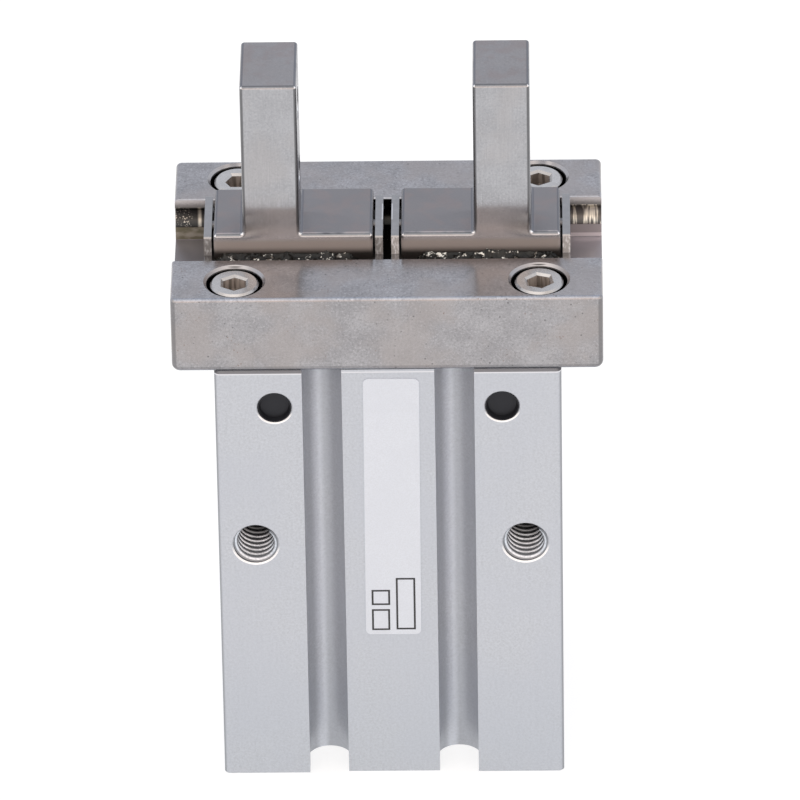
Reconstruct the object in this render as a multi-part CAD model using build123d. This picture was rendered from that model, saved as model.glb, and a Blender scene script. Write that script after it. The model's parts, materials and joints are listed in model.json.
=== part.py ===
"""Pneumatic parallel gripper of 16 mm bore: two fingers on ball slides, driven by a piston and levers."""

from build123d import *
import math
import os

# Frame: origin at the bottom centre of the body, +X along the finger travel, +Z to the fingertips.
# The front face, which carries the label, is at -Y.
# All lengths are in millimetres.

# Body, an extruded block
BODY_WIDTH = 30.6
BODY_DEPTH = 23.6
BODY_HEIGHT = 42.8
BODY_CORNER = 0.5
BODY_TOP_EDGE = 0.2
BODY_BOTTOM_EDGE = 0.1
LAND_SETBACK = 0.25
SWITCH_GROOVE_X = 5.85
SWITCH_GROOVE_MOUTH = 3.5
SWITCH_GROOVE_RADIUS = 2.0
SWITCH_GROOVE_DEPTH = 2.4

# Tapped mounting holes, at the nominal radius of their thread
MOUNT_HOLE_INSET = 3.3
MOUNT_HOLE_Z = 24.65
MOUNT_THREAD_RADIUS = 2.0
MOUNT_THREAD_DEPTH = 7.0
MOUNT_PASSAGE_RADIUS = 1.7
BASE_THREAD_DEPTH = 5.5
DRILL_POINT = 0.8
HOLE_CHAMFER = 0.1

# Cylinder and what closes it at the bottom
BORE_RADIUS = 8.0
LOCATING_STEP = 0.5
LOCATING_DEPTH = 1.2
RING_LIP = 0.8
RING_THICKNESS = 0.9
RING_GROOVE_DEPTH = 0.7
RING_BAND = 1.45
RING_OPENING = 50.0
RING_EAR_RADIUS = 1.15
RING_EAR_HOLE = 0.45
CAP_FLANGE_HEIGHT = 5.1
CAP_NOSE_HEIGHT = 1.6
CAP_NOSE_STEP = 1.6
CAP_RECESS_RADIUS = 4.6
CAP_RECESS_DEPTH = 1.0
CAP_TOOL_HOLE_X = 2.6
CAP_TOOL_HOLE_RADIUS = 0.8
GASKET_SECTION_RADIUS = 0.54
BUMPER_THICKNESS = 0.8
BUMPER_HOLE_RADIUS = 3.2

# Piston, its magnet and its rod
PISTON_LOWER_HEIGHT = 5.0
MAGNET_HEIGHT = 3.8
PISTON_EDGE = 0.4
SPIGOT_RADIUS = 4.0
MAGNET_STEP = 0.4
PISTON_SEAL_HEIGHT = 2.0
PISTON_SEAL_DEPTH = 1.75
ROD_RADIUS = 2.5
ROD_SEAT_DEPTH = 5.0
ROD_SEAL_RADIUS = 5.0
ROD_SEAL_HEIGHT = 2.2
PARTITION_WEB = 1.5
PISTON_SCREW_RADIUS = 1.5
PISTON_SCREW_HEAD_RADIUS = 2.75
PISTON_SCREW_HEAD_HEIGHT = 3.0
PISTON_SCREW_GRIP = 2.85
PISTON_SCREW_HEX = 2.5
STOP_GAP = 0.15

# Air ports in the right-hand side, at the nominal radius of their thread
PORT_RADIUS = 2.5
PORT_DEPTH = 4.5
PORT_PASSAGE_RADIUS = 0.6
PORT_PASSAGE_DROP = 1.4

# Guide, the channelled block on top of the body
GUIDE_LENGTH = 38.0
GUIDE_HEIGHT = 7.5
GUIDE_FLOOR = 3.3
GUIDE_LOWER_CORNER = 0.75
GUIDE_ROUND = 0.5
GUIDE_EDGE = 0.35
CHANNEL_WIDTH = 10.3
CHANNEL_EDGE = 0.12
HEAD_RELIEF_DEPTH = 1.0

# Screws and dowels that hold the guide
GUIDE_SCREW_FROM_SIDE = 1.9
GUIDE_SCREW_INSET = 3.1
GUIDE_SCREW_RADIUS = 1.25
GUIDE_SCREW_HEAD_RADIUS = 2.15
GUIDE_SCREW_HEAD_HEIGHT = 2.5
GUIDE_SCREW_LENGTH = 9.0
GUIDE_SCREW_HEX = 2.0
GUIDE_SCREW_TURNS = (30.0, 0.0, 40.0, 30.0)
SCREW_HEX_DEPTH = 1.3
SCREW_HEX_EDGE = 0.2
SCREW_HEAD_EDGE = 0.18
SCREW_HEAD_SINK = 0.15
COUNTERBORE_RADIUS = 2.5
COUNTERBORE_EDGE = 0.23
DOWEL_RADIUS = 1.0
DOWEL_INSET = 3.2
DOWEL_LENGTH = 7.0

# Fingers, each one piece with its slide block
FINGER_GAP = 15.4
PRONG_THICKNESS = 5.0
PRONG_SIDE_STEP = 0.23
PRONG_LENGTH = 15.15
PRONG_EDGE = 0.32
PRONG_ROOT_ROUND = 0.35
BLOCK_INNER_X = 1.05
BLOCK_END_STEP = 0.2
BLOCK_ABOVE_GUIDE = 1.85
FOOT_SIDE_GAP = 0.92
FOOT_HEIGHT = 3.15
FOOT_FLOAT = 0.35
FINGER_THREAD_RADIUS = 1.5
FINGER_THREAD_PITCH = 7.0
FINGER_THREAD_FROM_TIP = 4.0

# Finger travel from the rest position, outward positive
TRAVEL_OPEN = 2.75
TRAVEL_CLOSE = 0.25

# Ball rows
BALL_RADIUS = 1.0
BALL_SPACING = 0.08
BALL_BELOW_TOP = 1.84
BALL_ROW_INSET = 0.46

# Stopper plates that close the ball rows
STOPPER_THICKNESS = 0.68
STOPPER_WING_GAP = 0.15
STOPPER_INSIDE_GUIDE = 0.07
STOPPER_NECK_INSET = 0.45
STOPPER_BELOW_BLOCK = 0.45
STOPPER_WING_RISE = 0.2
STOPPER_LIFT = 0.15
STOPPER_PIN_RADIUS = 0.45
STOPPER_PIN_BELOW_BLOCK = 1.45
STOPPER_PIN_GRIP = 1.8
STOPPER_PIN_SINK = 0.25
STOPPER_CORNER = 0.25

# Levers, which turn the piston's stroke into finger travel
LEVER_PIVOT_FROM_SIDE = 5.25
LEVER_PIVOT_DROP = 3.8
LEVER_UP_REACH = 8.9
LEVER_TOE_X = 2.15
LEVER_THICKNESS = 4.8
LEVER_HUB_RADIUS = 2.5
LEVER_ARM_ROOT = 3.2
LEVER_ARM_TIP = 1.4
LEVER_POST_TIP = 1.9
LEVER_TOE_RADIUS = 1.25
LEVER_FORK_RADIUS = 1.15
LEVER_FORK_SLOT = 2.4
SHAFT_RADIUS = 1.5
SHAFT_SINK = 0.05
SHAFT_EDGE = 0.1
SHAFT_DISH_RADIUS = 1.25
SHAFT_DISH_DEPTH = 0.5
ROLLER_RADIUS = 1.45
ROLLER_PIN_RADIUS = 0.6
ROLLER_PIN_SHORTER = 0.2
CHAMBER_CLEARANCE = 0.3
CHAMBER_BELOW_HEAD = 2.05
WINDOW_HALF_LENGTH = 2.8

# Rod head, whose two slots hold the lever toes
HEAD_WEB = 1.5
HEAD_HALF_LENGTH = 3.9
HEAD_JAW = 1.15

# Label on the front land
LABEL_WIDTH = 4.95
LABEL_HEIGHT = 27.0
LABEL_X = 0.2
LABEL_BELOW_TOP = 0.95
LABEL_TILT = 0.3
LABEL_CORNER = 0.5
LABEL_THICKNESS = 0.08

# Fits, each a difference of radii or the gap at one side
SEATED = 0.01
RUNNING = 0.03
SLIDING = 0.05
BOLT_CLEARANCE = 0.1

# Distances along X worked out from the body's sides
mount_hole_x = BODY_WIDTH / 2 - MOUNT_HOLE_INSET
guide_screw_x = BODY_WIDTH / 2 - GUIDE_SCREW_FROM_SIDE
pivot_x = BODY_WIDTH / 2 - LEVER_PIVOT_FROM_SIDE
lever_in_reach = pivot_x - LEVER_TOE_X
stroke_ratio = lever_in_reach / LEVER_UP_REACH

# Heights worked out from the bottom face upwards
ring_bottom = LOCATING_DEPTH + RING_LIP
cap_bottom = ring_bottom + RING_THICKNESS
cap_shoulder = cap_bottom + CAP_FLANGE_HEIGHT
cap_top = cap_shoulder + CAP_NOSE_HEIGHT
piston_bottom = cap_top + BUMPER_THICKNESS + STOP_GAP + TRAVEL_CLOSE * stroke_ratio
magnet_bottom = piston_bottom + PISTON_LOWER_HEIGHT
flange_bottom = magnet_bottom + MAGNET_HEIGHT
guide_top = BODY_HEIGHT + GUIDE_HEIGHT
channel_floor = BODY_HEIGHT + GUIDE_FLOOR
foot_bottom = channel_floor + FOOT_FLOAT
foot_top = foot_bottom + FOOT_HEIGHT
block_top = guide_top + BLOCK_ABOVE_GUIDE
fingertip = block_top + PRONG_LENGTH
ball_z = guide_top - BALL_BELOW_TOP

# Heights worked out from the top of the body downwards
travel_middle = (TRAVEL_OPEN - TRAVEL_CLOSE) / 2
pivot_z = BODY_HEIGHT - LEVER_PIVOT_DROP
head_z = pivot_z - travel_middle * stroke_ratio
head_half_height = LEVER_TOE_RADIUS + SLIDING + HEAD_JAW
chamber_floor = head_z - head_half_height - TRAVEL_CLOSE * stroke_ratio - CHAMBER_BELOW_HEAD
partition_bottom = chamber_floor - PARTITION_WEB - ROD_SEAL_HEIGHT
piston_top = partition_bottom - BUMPER_THICKNESS - STOP_GAP - TRAVEL_OPEN * stroke_ratio
rod_bottom = piston_top - ROD_SEAT_DEPTH
piston_screw_seat = piston_bottom + STOP_GAP + PISTON_SCREW_HEAD_HEIGHT
seal_groove_height = PISTON_SEAL_HEIGHT + BOLT_CLEARANCE
seal_bottom = (flange_bottom + piston_top - seal_groove_height) / 2
label_z = BODY_HEIGHT - LABEL_BELOW_TOP - LABEL_HEIGHT / 2

# Radii in the cylinder
locating_radius = BORE_RADIUS + LOCATING_STEP
cap_nose_radius = BORE_RADIUS - CAP_NOSE_STEP
magnet_radius = BORE_RADIUS - MAGNET_STEP

# Other places worked out from the driving sizes; the guide is as deep as the body
front_y = -BODY_DEPTH / 2
land_y = front_y + LAND_SETBACK
guide_screw_y = BODY_DEPTH / 2 - GUIDE_SCREW_INSET
dowel_y = BODY_DEPTH / 2 - DOWEL_INSET
foot_width = CHANNEL_WIDTH - 2 * FOOT_SIDE_GAP
prong_depth = foot_width - 2 * PRONG_SIDE_STEP
stopper_neck_width = prong_depth - 2 * STOPPER_NECK_INSET
ball_row_y = CHANNEL_WIDTH / 2 - BALL_ROW_INSET
block_outer_x = GUIDE_LENGTH / 2 - STOPPER_INSIDE_GUIDE - TRAVEL_OPEN - STOPPER_THICKNESS
block_length = block_outer_x - BLOCK_INNER_X
prong_x = (FINGER_GAP + PRONG_THICKNESS) / 2
ball_pitch = 2 * BALL_RADIUS + BALL_SPACING
ball_count = int((block_length - (TRAVEL_OPEN + TRAVEL_CLOSE) / 2 + BALL_SPACING) / ball_pitch)
rest_turn = math.degrees(travel_middle / LEVER_UP_REACH)
chamber_half_width = LEVER_THICKNESS / 2 + CHAMBER_CLEARANCE
pocket_x = pivot_x - travel_middle
LONG = 2 * BODY_HEIGHT


def block(x_low, x_high, y_low, y_high, z_low, z_high):
    """Box between six planes."""
    size = (x_high - x_low, y_high - y_low, z_high - z_low)
    middle = ((x_low + x_high) / 2, (y_low + y_high) / 2, (z_low + z_high) / 2)
    return Pos(*middle) * Box(*size)


def upright(radius, z_low, z_high, x=0.0, y=0.0):
    """Cylinder along Z."""
    return Pos(x, y, (z_low + z_high) / 2) * Cylinder(radius, z_high - z_low)


def along_x(radius, x_low, x_high, y, z):
    """Cylinder along X."""
    return Pos((x_low + x_high) / 2, y, z) * Rot(0, 90, 0) * Cylinder(radius, x_high - x_low)


def along_y(radius, y_low, y_high, x, z):
    """Cylinder along Y."""
    return Pos(x, (y_low + y_high) / 2, z) * Rot(90, 0, 0) * Cylinder(radius, y_high - y_low)


def countersink(radius, depth):
    """Cone that breaks the edge of a hole, with its wide end up at the origin."""
    return Pos(0, 0, -depth / 2) * Cone(radius, radius + depth, depth)


def mirrored(shape):
    """The same piece on the other side of the middle plane."""
    return mirror(shape, about=Plane.YZ)


def both_sides(shape):
    """A cut and its mirror image, as a list."""
    return [shape, mirrored(shape)]


def profile_along_y(sketch, thickness):
    """Solid of even thickness about the middle plane, from a sketch in X and Z."""
    return extrude(sketch, amount=thickness / 2, both=True)


def polygon_xz(*points):
    """Sketch in X and Z through the given points."""
    return make_face(Polyline(*[(x, 0, z) for x, z in points], close=True))


def disc_xz(radius, x, z):
    """Round sketch in X and Z."""
    return Plane(origin=(x, 0, z), z_dir=(0, 1, 0)) * Circle(radius)


def switch_groove(x, side):
    """Full-height groove for a round switch, with side -1 in front and 1 behind."""
    axis_y = side * (BODY_DEPTH / 2 - SWITCH_GROOVE_DEPTH)
    mouth_y = side * BODY_DEPTH
    half = SWITCH_GROOVE_MOUTH / 2
    bed = upright(SWITCH_GROOVE_RADIUS, -LONG, LONG, x, axis_y)
    mouth = block(x - half, x + half, min(axis_y, mouth_y), max(axis_y, mouth_y), -LONG, LONG)
    return bed + mouth


def side_mount_hole(x):
    """Mounting hole through the depth of the body, tapped from both faces."""
    hole = along_y(MOUNT_PASSAGE_RADIUS, -BODY_DEPTH, BODY_DEPTH, x, MOUNT_HOLE_Z)
    inner_y = BODY_DEPTH / 2 - MOUNT_THREAD_DEPTH
    for turn in (90, -90):
        thread = Pos(0, 0, (inner_y + BODY_DEPTH) / 2) * Cylinder(MOUNT_THREAD_RADIUS, BODY_DEPTH - inner_y)
        edge = Pos(0, 0, BODY_DEPTH / 2) * countersink(MOUNT_THREAD_RADIUS, HOLE_CHAMFER)
        hole += Pos(x, 0, MOUNT_HOLE_Z) * Rot(turn, 0, 0) * (thread + edge)
    return hole


def base_mount_hole(x):
    """Tapped hole in the bottom face."""
    thread = upright(MOUNT_THREAD_RADIUS, 0, BASE_THREAD_DEPTH, x)
    drill = upright(MOUNT_PASSAGE_RADIUS, 0, BASE_THREAD_DEPTH + DRILL_POINT, x)
    edge = Pos(x, 0, 0) * Rot(180, 0, 0) * countersink(MOUNT_THREAD_RADIUS, HOLE_CHAMFER)
    return thread + drill + edge


def air_port(passage_z):
    """Tapped port in the right-hand side, and the small passage from it into the cylinder."""
    port_z = passage_z + PORT_PASSAGE_DROP
    side_x = BODY_WIDTH / 2
    thread = along_x(PORT_RADIUS, side_x - PORT_DEPTH, BODY_WIDTH, 0, port_z)
    passage = along_x(PORT_PASSAGE_RADIUS, BORE_RADIUS - PORT_PASSAGE_RADIUS, side_x, 0, passage_z)
    edge = Pos(side_x, 0, port_z) * Rot(0, 90, 0) * countersink(PORT_RADIUS, HOLE_CHAMFER)
    return thread + passage + edge


def shaft_hole():
    """Hole for a lever shaft through the depth of the body, with a broken edge at each face."""
    hole = along_y(SHAFT_RADIUS + SEATED, -BODY_DEPTH, BODY_DEPTH, pivot_x, pivot_z)
    for turn in (90, -90):
        edge = Pos(0, 0, BODY_DEPTH / 2) * countersink(SHAFT_RADIUS + SEATED, SHAFT_EDGE)
        hole += Pos(pivot_x, 0, pivot_z) * Rot(turn, 0, 0) * edge
    return hole


def make_body():
    """Extruded block with the cylinder, the lever chamber, the switch grooves and every hole."""
    half_w = BODY_WIDTH / 2
    half_d = BODY_DEPTH / 2
    body = block(-half_w, half_w, -half_d, half_d, 0, BODY_HEIGHT)
    body = fillet(body.edges().filter_by(Axis.Z), BODY_CORNER)
    body = chamfer(body.edges().group_by(Axis.Z)[-1], BODY_TOP_EDGE)
    body = chamfer(body.edges().group_by(Axis.Z)[0], BODY_BOTTOM_EDGE)
    for side in (-1, 1):
        land = sorted((side * (half_d - LAND_SETBACK), side * BODY_DEPTH))
        body -= block(-SWITCH_GROOVE_X, SWITCH_GROOVE_X, *land, -LONG, LONG)
        for x in (-SWITCH_GROOVE_X, SWITCH_GROOVE_X):
            body -= switch_groove(x, side)
    cuts = [
        upright(locating_radius, -LONG, LOCATING_DEPTH),
        upright(BORE_RADIUS, -LONG, partition_bottom),
        upright(BORE_RADIUS + RING_GROOVE_DEPTH, ring_bottom, cap_bottom + SLIDING),
        upright(ROD_SEAL_RADIUS, 0, partition_bottom + ROD_SEAL_HEIGHT),
        upright(ROD_RADIUS + SLIDING, 0, BODY_HEIGHT),
        air_port(cap_shoulder + CAP_NOSE_HEIGHT / 2),
        air_port(partition_bottom - BUMPER_THICKNESS),
    ]
    chamber_x = pivot_x + LEVER_HUB_RADIUS + CHAMBER_CLEARANCE
    chamber_y = chamber_half_width
    cuts.append(block(-chamber_x, chamber_x, -chamber_y, chamber_y, chamber_floor, LONG))
    cuts += both_sides(shaft_hole())
    for x in (-mount_hole_x, mount_hole_x):
        cuts.append(side_mount_hole(x))
        cuts.append(base_mount_hole(x))
    screw_tip = guide_screw_seat() - GUIDE_SCREW_LENGTH
    for x, y in guide_screw_places():
        cuts.append(upright(GUIDE_SCREW_RADIUS + SEATED, screw_tip - DRILL_POINT, LONG, x, y))
    for y in (-dowel_y, dowel_y):
        cuts.append(upright(DOWEL_RADIUS + SEATED, BODY_HEIGHT - DOWEL_LENGTH / 2, LONG, 0, y))
    return body - cuts


def guide_screw_seat():
    """Height of the face that the guide screws' heads sit on."""
    return guide_top - SCREW_HEAD_SINK - GUIDE_SCREW_HEAD_HEIGHT


def guide_screw_places():
    """Centres of the four guide screws."""
    return [(x, y) for x in (-guide_screw_x, guide_screw_x) for y in (-guide_screw_y, guide_screw_y)]


def make_guide():
    """Channelled steel block: two rails with ball grooves, and a floor with two lever windows."""
    half_l = GUIDE_LENGTH / 2
    half_d = BODY_DEPTH / 2
    half_c = CHANNEL_WIDTH / 2
    guide = block(-half_l, half_l, -half_d, half_d, BODY_HEIGHT, guide_top)
    guide = fillet(guide.edges().filter_by(Axis.Y).group_by(Axis.Z)[0], GUIDE_LOWER_CORNER)
    rims = guide.faces().sort_by(Axis.Y)[0].edges() + guide.faces().sort_by(Axis.Y)[-1].edges()
    guide = fillet([e for e in rims if e.center().Z < guide_top - SEATED], GUIDE_ROUND)
    guide = fillet(guide.edges().group_by(Axis.Z)[-1], GUIDE_EDGE)
    channel = block(-GUIDE_LENGTH, GUIDE_LENGTH, -half_c, half_c, channel_floor, LONG)
    flare = extrude(
        Plane.YZ
        * Polygon(
            (-half_c - CHANNEL_EDGE, guide_top),
            (half_c + CHANNEL_EDGE, guide_top),
            (half_c, guide_top - CHANNEL_EDGE),
            (-half_c, guide_top - CHANNEL_EDGE),
            align=None,
        ),
        amount=GUIDE_LENGTH,
        both=True,
    )
    cuts = [channel, flare]
    for y in (-ball_row_y, ball_row_y):
        cuts.append(along_x(BALL_RADIUS + RUNNING, -GUIDE_LENGTH, GUIDE_LENGTH, y, ball_z))
    window_x = (pivot_x - WINDOW_HALF_LENGTH, pivot_x + WINDOW_HALF_LENGTH)
    window_y = (-chamber_half_width, chamber_half_width)
    cuts += both_sides(block(*window_x, *window_y, 0, LONG))
    relief_x = HEAD_HALF_LENGTH + CHAMBER_CLEARANCE
    cuts.append(block(-relief_x, relief_x, *window_y, 0, BODY_HEIGHT + HEAD_RELIEF_DEPTH))
    seat = guide_screw_seat()
    for x, y in guide_screw_places():
        cuts.append(upright(COUNTERBORE_RADIUS, seat, LONG, x, y))
        cuts.append(upright(GUIDE_SCREW_RADIUS + BOLT_CLEARANCE, 0, LONG, x, y))
        cuts.append(Pos(x, y, guide_top) * countersink(COUNTERBORE_RADIUS, COUNTERBORE_EDGE))
    for y in (-dowel_y, dowel_y):
        cuts.append(upright(DOWEL_RADIUS + SEATED, 0, BODY_HEIGHT + DOWEL_LENGTH / 2, 0, y))
    return guide - cuts


def socket_screw(radius, length, head_radius, head_height, hex_size):
    """Socket head cap screw with its seat at the origin and its head up."""
    head = upright(head_radius, 0, head_height)
    head = chamfer(head.edges().group_by(Axis.Z)[-1], SCREW_HEAD_EDGE)
    shank = upright(radius, -length, 0)
    shank = chamfer(shank.edges().group_by(Axis.Z)[0], SCREW_HEAD_EDGE)
    hexagon = RegularPolygon(hex_size / 2, 6, major_radius=False)
    wide = RegularPolygon(hex_size / 2 + SCREW_HEX_EDGE, 6, major_radius=False)
    socket = extrude(hexagon, -SCREW_HEX_DEPTH)
    mouth = loft([wide, Pos(0, 0, -SCREW_HEX_EDGE) * hexagon], ruled=True)
    return head + shank - [Pos(0, 0, head_height) * cut for cut in (socket, mouth)]


def make_guide_screws():
    """The four screws that hold the guide to the body."""
    screw = socket_screw(
        GUIDE_SCREW_RADIUS,
        GUIDE_SCREW_LENGTH,
        GUIDE_SCREW_HEAD_RADIUS,
        GUIDE_SCREW_HEAD_HEIGHT,
        GUIDE_SCREW_HEX,
    )
    seat = guide_screw_seat()
    placed = zip(guide_screw_places(), GUIDE_SCREW_TURNS)
    return Compound([Pos(x, y, seat) * Rot(0, 0, turn) * screw for (x, y), turn in placed])


def make_dowels():
    """The two parallel pins that line the guide up with the body."""
    low = BODY_HEIGHT - DOWEL_LENGTH / 2
    pins = [upright(DOWEL_RADIUS, low, low + DOWEL_LENGTH, 0, y) for y in (-dowel_y, dowel_y)]
    return Compound([chamfer(pin.edges().filter_by(GeomType.CIRCLE), HOLE_CHAMFER) for pin in pins])


def make_finger():
    """Right-hand finger: a slide block with a grooved foot, and the prong that grips, in one piece."""
    half_foot = foot_width / 2
    upper_x = (BLOCK_INNER_X + BLOCK_END_STEP, block_outer_x - BLOCK_END_STEP)
    foot = block(BLOCK_INNER_X, block_outer_x, -half_foot, half_foot, foot_bottom, foot_top)
    prong_low = prong_x - PRONG_THICKNESS / 2
    prong_high = prong_x + PRONG_THICKNESS / 2
    outline = polygon_xz(
        (upper_x[0], foot_bottom),
        (upper_x[1], foot_bottom),
        (upper_x[1], block_top),
        (prong_high, block_top),
        (prong_high, fingertip),
        (prong_low, fingertip),
        (prong_low, block_top),
        (upper_x[0], block_top),
    )
    upper = profile_along_y(outline, prong_depth)
    roots = upper.edges().filter_by(Axis.Y)
    roots = roots.filter_by_position(Axis.Z, block_top - SEATED, block_top + SEATED)
    roots = roots.filter_by_position(Axis.X, prong_low - SEATED, prong_high + SEATED)
    upper = fillet(roots, PRONG_ROOT_ROUND)
    face_edges = upper.faces().sort_by(Axis.Y)[0].edges() + upper.faces().sort_by(Axis.Y)[-1].edges()
    face_edges = [e for e in face_edges if e.center().Z > foot_bottom + SEATED]
    ends = [e for e in upper.edges().filter_by(Axis.Y) if at_corner(e, prong_low, prong_high)]
    upper = fillet(face_edges + ends, PRONG_EDGE)
    finger = foot + upper
    cuts = []
    for y in (-ball_row_y, ball_row_y):
        cuts.append(along_x(BALL_RADIUS + RUNNING, 0, GUIDE_LENGTH, y, ball_z))
    pocket_half = ROLLER_RADIUS + SLIDING
    pocket_roof = pivot_z + LEVER_UP_REACH + ROLLER_RADIUS + BOLT_CLEARANCE
    pocket_y = (-chamber_half_width, chamber_half_width)
    cuts.append(block(pocket_x - pocket_half, pocket_x + pocket_half, *pocket_y, 0, pocket_roof))
    for drop in (FINGER_THREAD_FROM_TIP, FINGER_THREAD_FROM_TIP + FINGER_THREAD_PITCH):
        z = fingertip - drop
        cuts.append(along_x(FINGER_THREAD_RADIUS, 0, GUIDE_LENGTH, 0, z))
        for side in (-1, 1):
            mouth = Pos(prong_x + side * PRONG_THICKNESS / 2, 0, z) * Rot(0, side * 90, 0)
            cuts.append(mouth * countersink(FINGER_THREAD_RADIUS, HOLE_CHAMFER))
    pin_z = block_top - STOPPER_PIN_BELOW_BLOCK
    for x_low, x_high in ((0, pin_inner_end()), (pin_outer_end(), GUIDE_LENGTH)):
        cuts.append(along_x(STOPPER_PIN_RADIUS + SEATED, x_low, x_high, 0, pin_z))
    return finger - cuts


def at_corner(edge, prong_low, prong_high):
    """Whether an edge along Y is an outer corner of the outline, at a fingertip or at a block's end."""
    middle = edge.center()
    inside = prong_low - PRONG_ROOT_ROUND - SEATED < middle.X < prong_high + PRONG_ROOT_ROUND + SEATED
    return middle.Z > fingertip - SEATED or (middle.Z > foot_top and not inside)


def pin_inner_end():
    """Where the inner stopper plate's pin ends inside the block."""
    return BLOCK_INNER_X + BLOCK_END_STEP + STOPPER_PIN_GRIP


def pin_outer_end():
    """Where the outer stopper plate's pin ends inside the block."""
    return block_outer_x - BLOCK_END_STEP - STOPPER_PIN_GRIP


def stopper_plate(x_low):
    """Thin end plate whose wings close both ball rows, with its lower face at x_low along X."""
    wing = CHANNEL_WIDTH / 2 - STOPPER_WING_GAP
    neck = stopper_neck_width / 2
    low = channel_floor + FOOT_FLOAT + STOPPER_LIFT
    shoulder = foot_top + STOPPER_WING_RISE
    high = block_top - STOPPER_BELOW_BLOCK
    right = [(wing, low), (wing, shoulder), (neck, shoulder), (neck, high)]
    left = [(-y, z) for y, z in reversed(right)]
    plate = extrude(Plane.YZ * Polygon(*right, *left, align=None), STOPPER_THICKNESS)
    corners = plate.edges().filter_by(Axis.X)
    is_root = [abs(abs(e.center().Y) - neck) < SEATED and e.center().Z < shoulder + SEATED for e in corners]
    corners = [e for e, root in zip(corners, is_root) if not root]
    plate = fillet(corners, STOPPER_CORNER)
    hole = along_x(STOPPER_PIN_RADIUS + SEATED, -LONG, LONG, 0, block_top - STOPPER_PIN_BELOW_BLOCK)
    return Pos(x_low, 0, 0) * (plate - hole)


def make_stopper_pins():
    """The two pins that hold the right-hand finger's stopper plates."""
    z = block_top - STOPPER_PIN_BELOW_BLOCK
    inner_face = BLOCK_INNER_X - STOPPER_THICKNESS + STOPPER_PIN_SINK
    outer_face = block_outer_x + STOPPER_THICKNESS - STOPPER_PIN_SINK
    inner = along_x(STOPPER_PIN_RADIUS, inner_face, pin_inner_end(), 0, z)
    outer = along_x(STOPPER_PIN_RADIUS, pin_outer_end(), outer_face, 0, z)
    return Compound([inner, outer])


def make_ball_row(y):
    """One row of balls beside the right-hand slide block."""
    middle = BLOCK_INNER_X + block_length / 2 + travel_middle / 2
    first = middle - ball_pitch * (ball_count - 1) / 2
    places = [first + ball_pitch * i for i in range(ball_count)]
    return Compound([Pos(x, y, ball_z) * Sphere(BALL_RADIUS) for x in places])


def to_rest(shape):
    """Turns a right-hand lever piece about its shaft, from mid-stroke to the rest position."""
    return shape.rotate(Axis((pivot_x, 0, pivot_z), (0, 1, 0)), -rest_turn)


def make_lever():
    """Right-hand bell crank: a toe at the rod, a hub on the shaft and a forked post up to the finger."""
    fork_z = pivot_z + LEVER_UP_REACH
    arm = polygon_xz(
        (LEVER_TOE_X, pivot_z - LEVER_ARM_TIP / 2),
        (pivot_x, pivot_z - LEVER_ARM_ROOT / 2),
        (pivot_x, pivot_z + LEVER_ARM_ROOT / 2),
        (LEVER_TOE_X, pivot_z + LEVER_ARM_TIP / 2),
    )
    post = polygon_xz(
        (pivot_x - LEVER_ARM_ROOT / 2, pivot_z),
        (pivot_x + LEVER_ARM_ROOT / 2, pivot_z),
        (pivot_x + LEVER_POST_TIP / 2, fork_z),
        (pivot_x - LEVER_POST_TIP / 2, fork_z),
    )
    rounds = [
        disc_xz(LEVER_TOE_RADIUS, LEVER_TOE_X, pivot_z),
        disc_xz(LEVER_HUB_RADIUS, pivot_x, pivot_z),
        disc_xz(LEVER_FORK_RADIUS, pivot_x, fork_z),
    ]
    lever = profile_along_y(arm, LEVER_THICKNESS) + profile_along_y(post, LEVER_THICKNESS)
    for disc in rounds:
        lever += profile_along_y(disc, LEVER_THICKNESS)
    slot_half = LEVER_FORK_SLOT / 2
    slot_floor = fork_z - ROLLER_RADIUS - CHAMBER_CLEARANCE
    lever -= along_y(SHAFT_RADIUS + RUNNING, -BODY_DEPTH, BODY_DEPTH, pivot_x, pivot_z)
    lever -= block(0, LONG, -slot_half, slot_half, slot_floor, LONG)
    lever -= along_y(ROLLER_PIN_RADIUS + SEATED, -BODY_DEPTH, BODY_DEPTH, pivot_x, fork_z)
    return to_rest(lever)


def make_roller():
    """Right-hand drive roller, which pushes the finger."""
    z = pivot_z + LEVER_UP_REACH
    half = LEVER_FORK_SLOT / 2 - SLIDING
    roller = along_y(ROLLER_RADIUS, -half, half, pivot_x, z)
    roller -= along_y(ROLLER_PIN_RADIUS + RUNNING, -BODY_DEPTH, BODY_DEPTH, pivot_x, z)
    return to_rest(roller)


def make_roller_pin():
    """Right-hand pin, pressed into the lever's fork, on which the roller turns."""
    half = LEVER_THICKNESS / 2 - ROLLER_PIN_SHORTER / 2
    return to_rest(along_y(ROLLER_PIN_RADIUS, -half, half, pivot_x, pivot_z + LEVER_UP_REACH))


def make_lever_shaft():
    """Right-hand shaft, fixed in the body, on which the lever turns, with a dished face at each end."""
    half = BODY_DEPTH / 2 - SHAFT_SINK
    shaft = along_y(SHAFT_RADIUS, -half, half, pivot_x, pivot_z)
    rim = SHAFT_RADIUS - SHAFT_EDGE
    dish = Cone(SHAFT_DISH_RADIUS, rim, SHAFT_DISH_DEPTH)
    for turn in (90, -90):
        place = Pos(pivot_x, 0, pivot_z) * Rot(turn, 0, 0) * Pos(0, 0, half - SHAFT_DISH_DEPTH / 2)
        shaft -= place * dish
    return shaft


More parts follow.
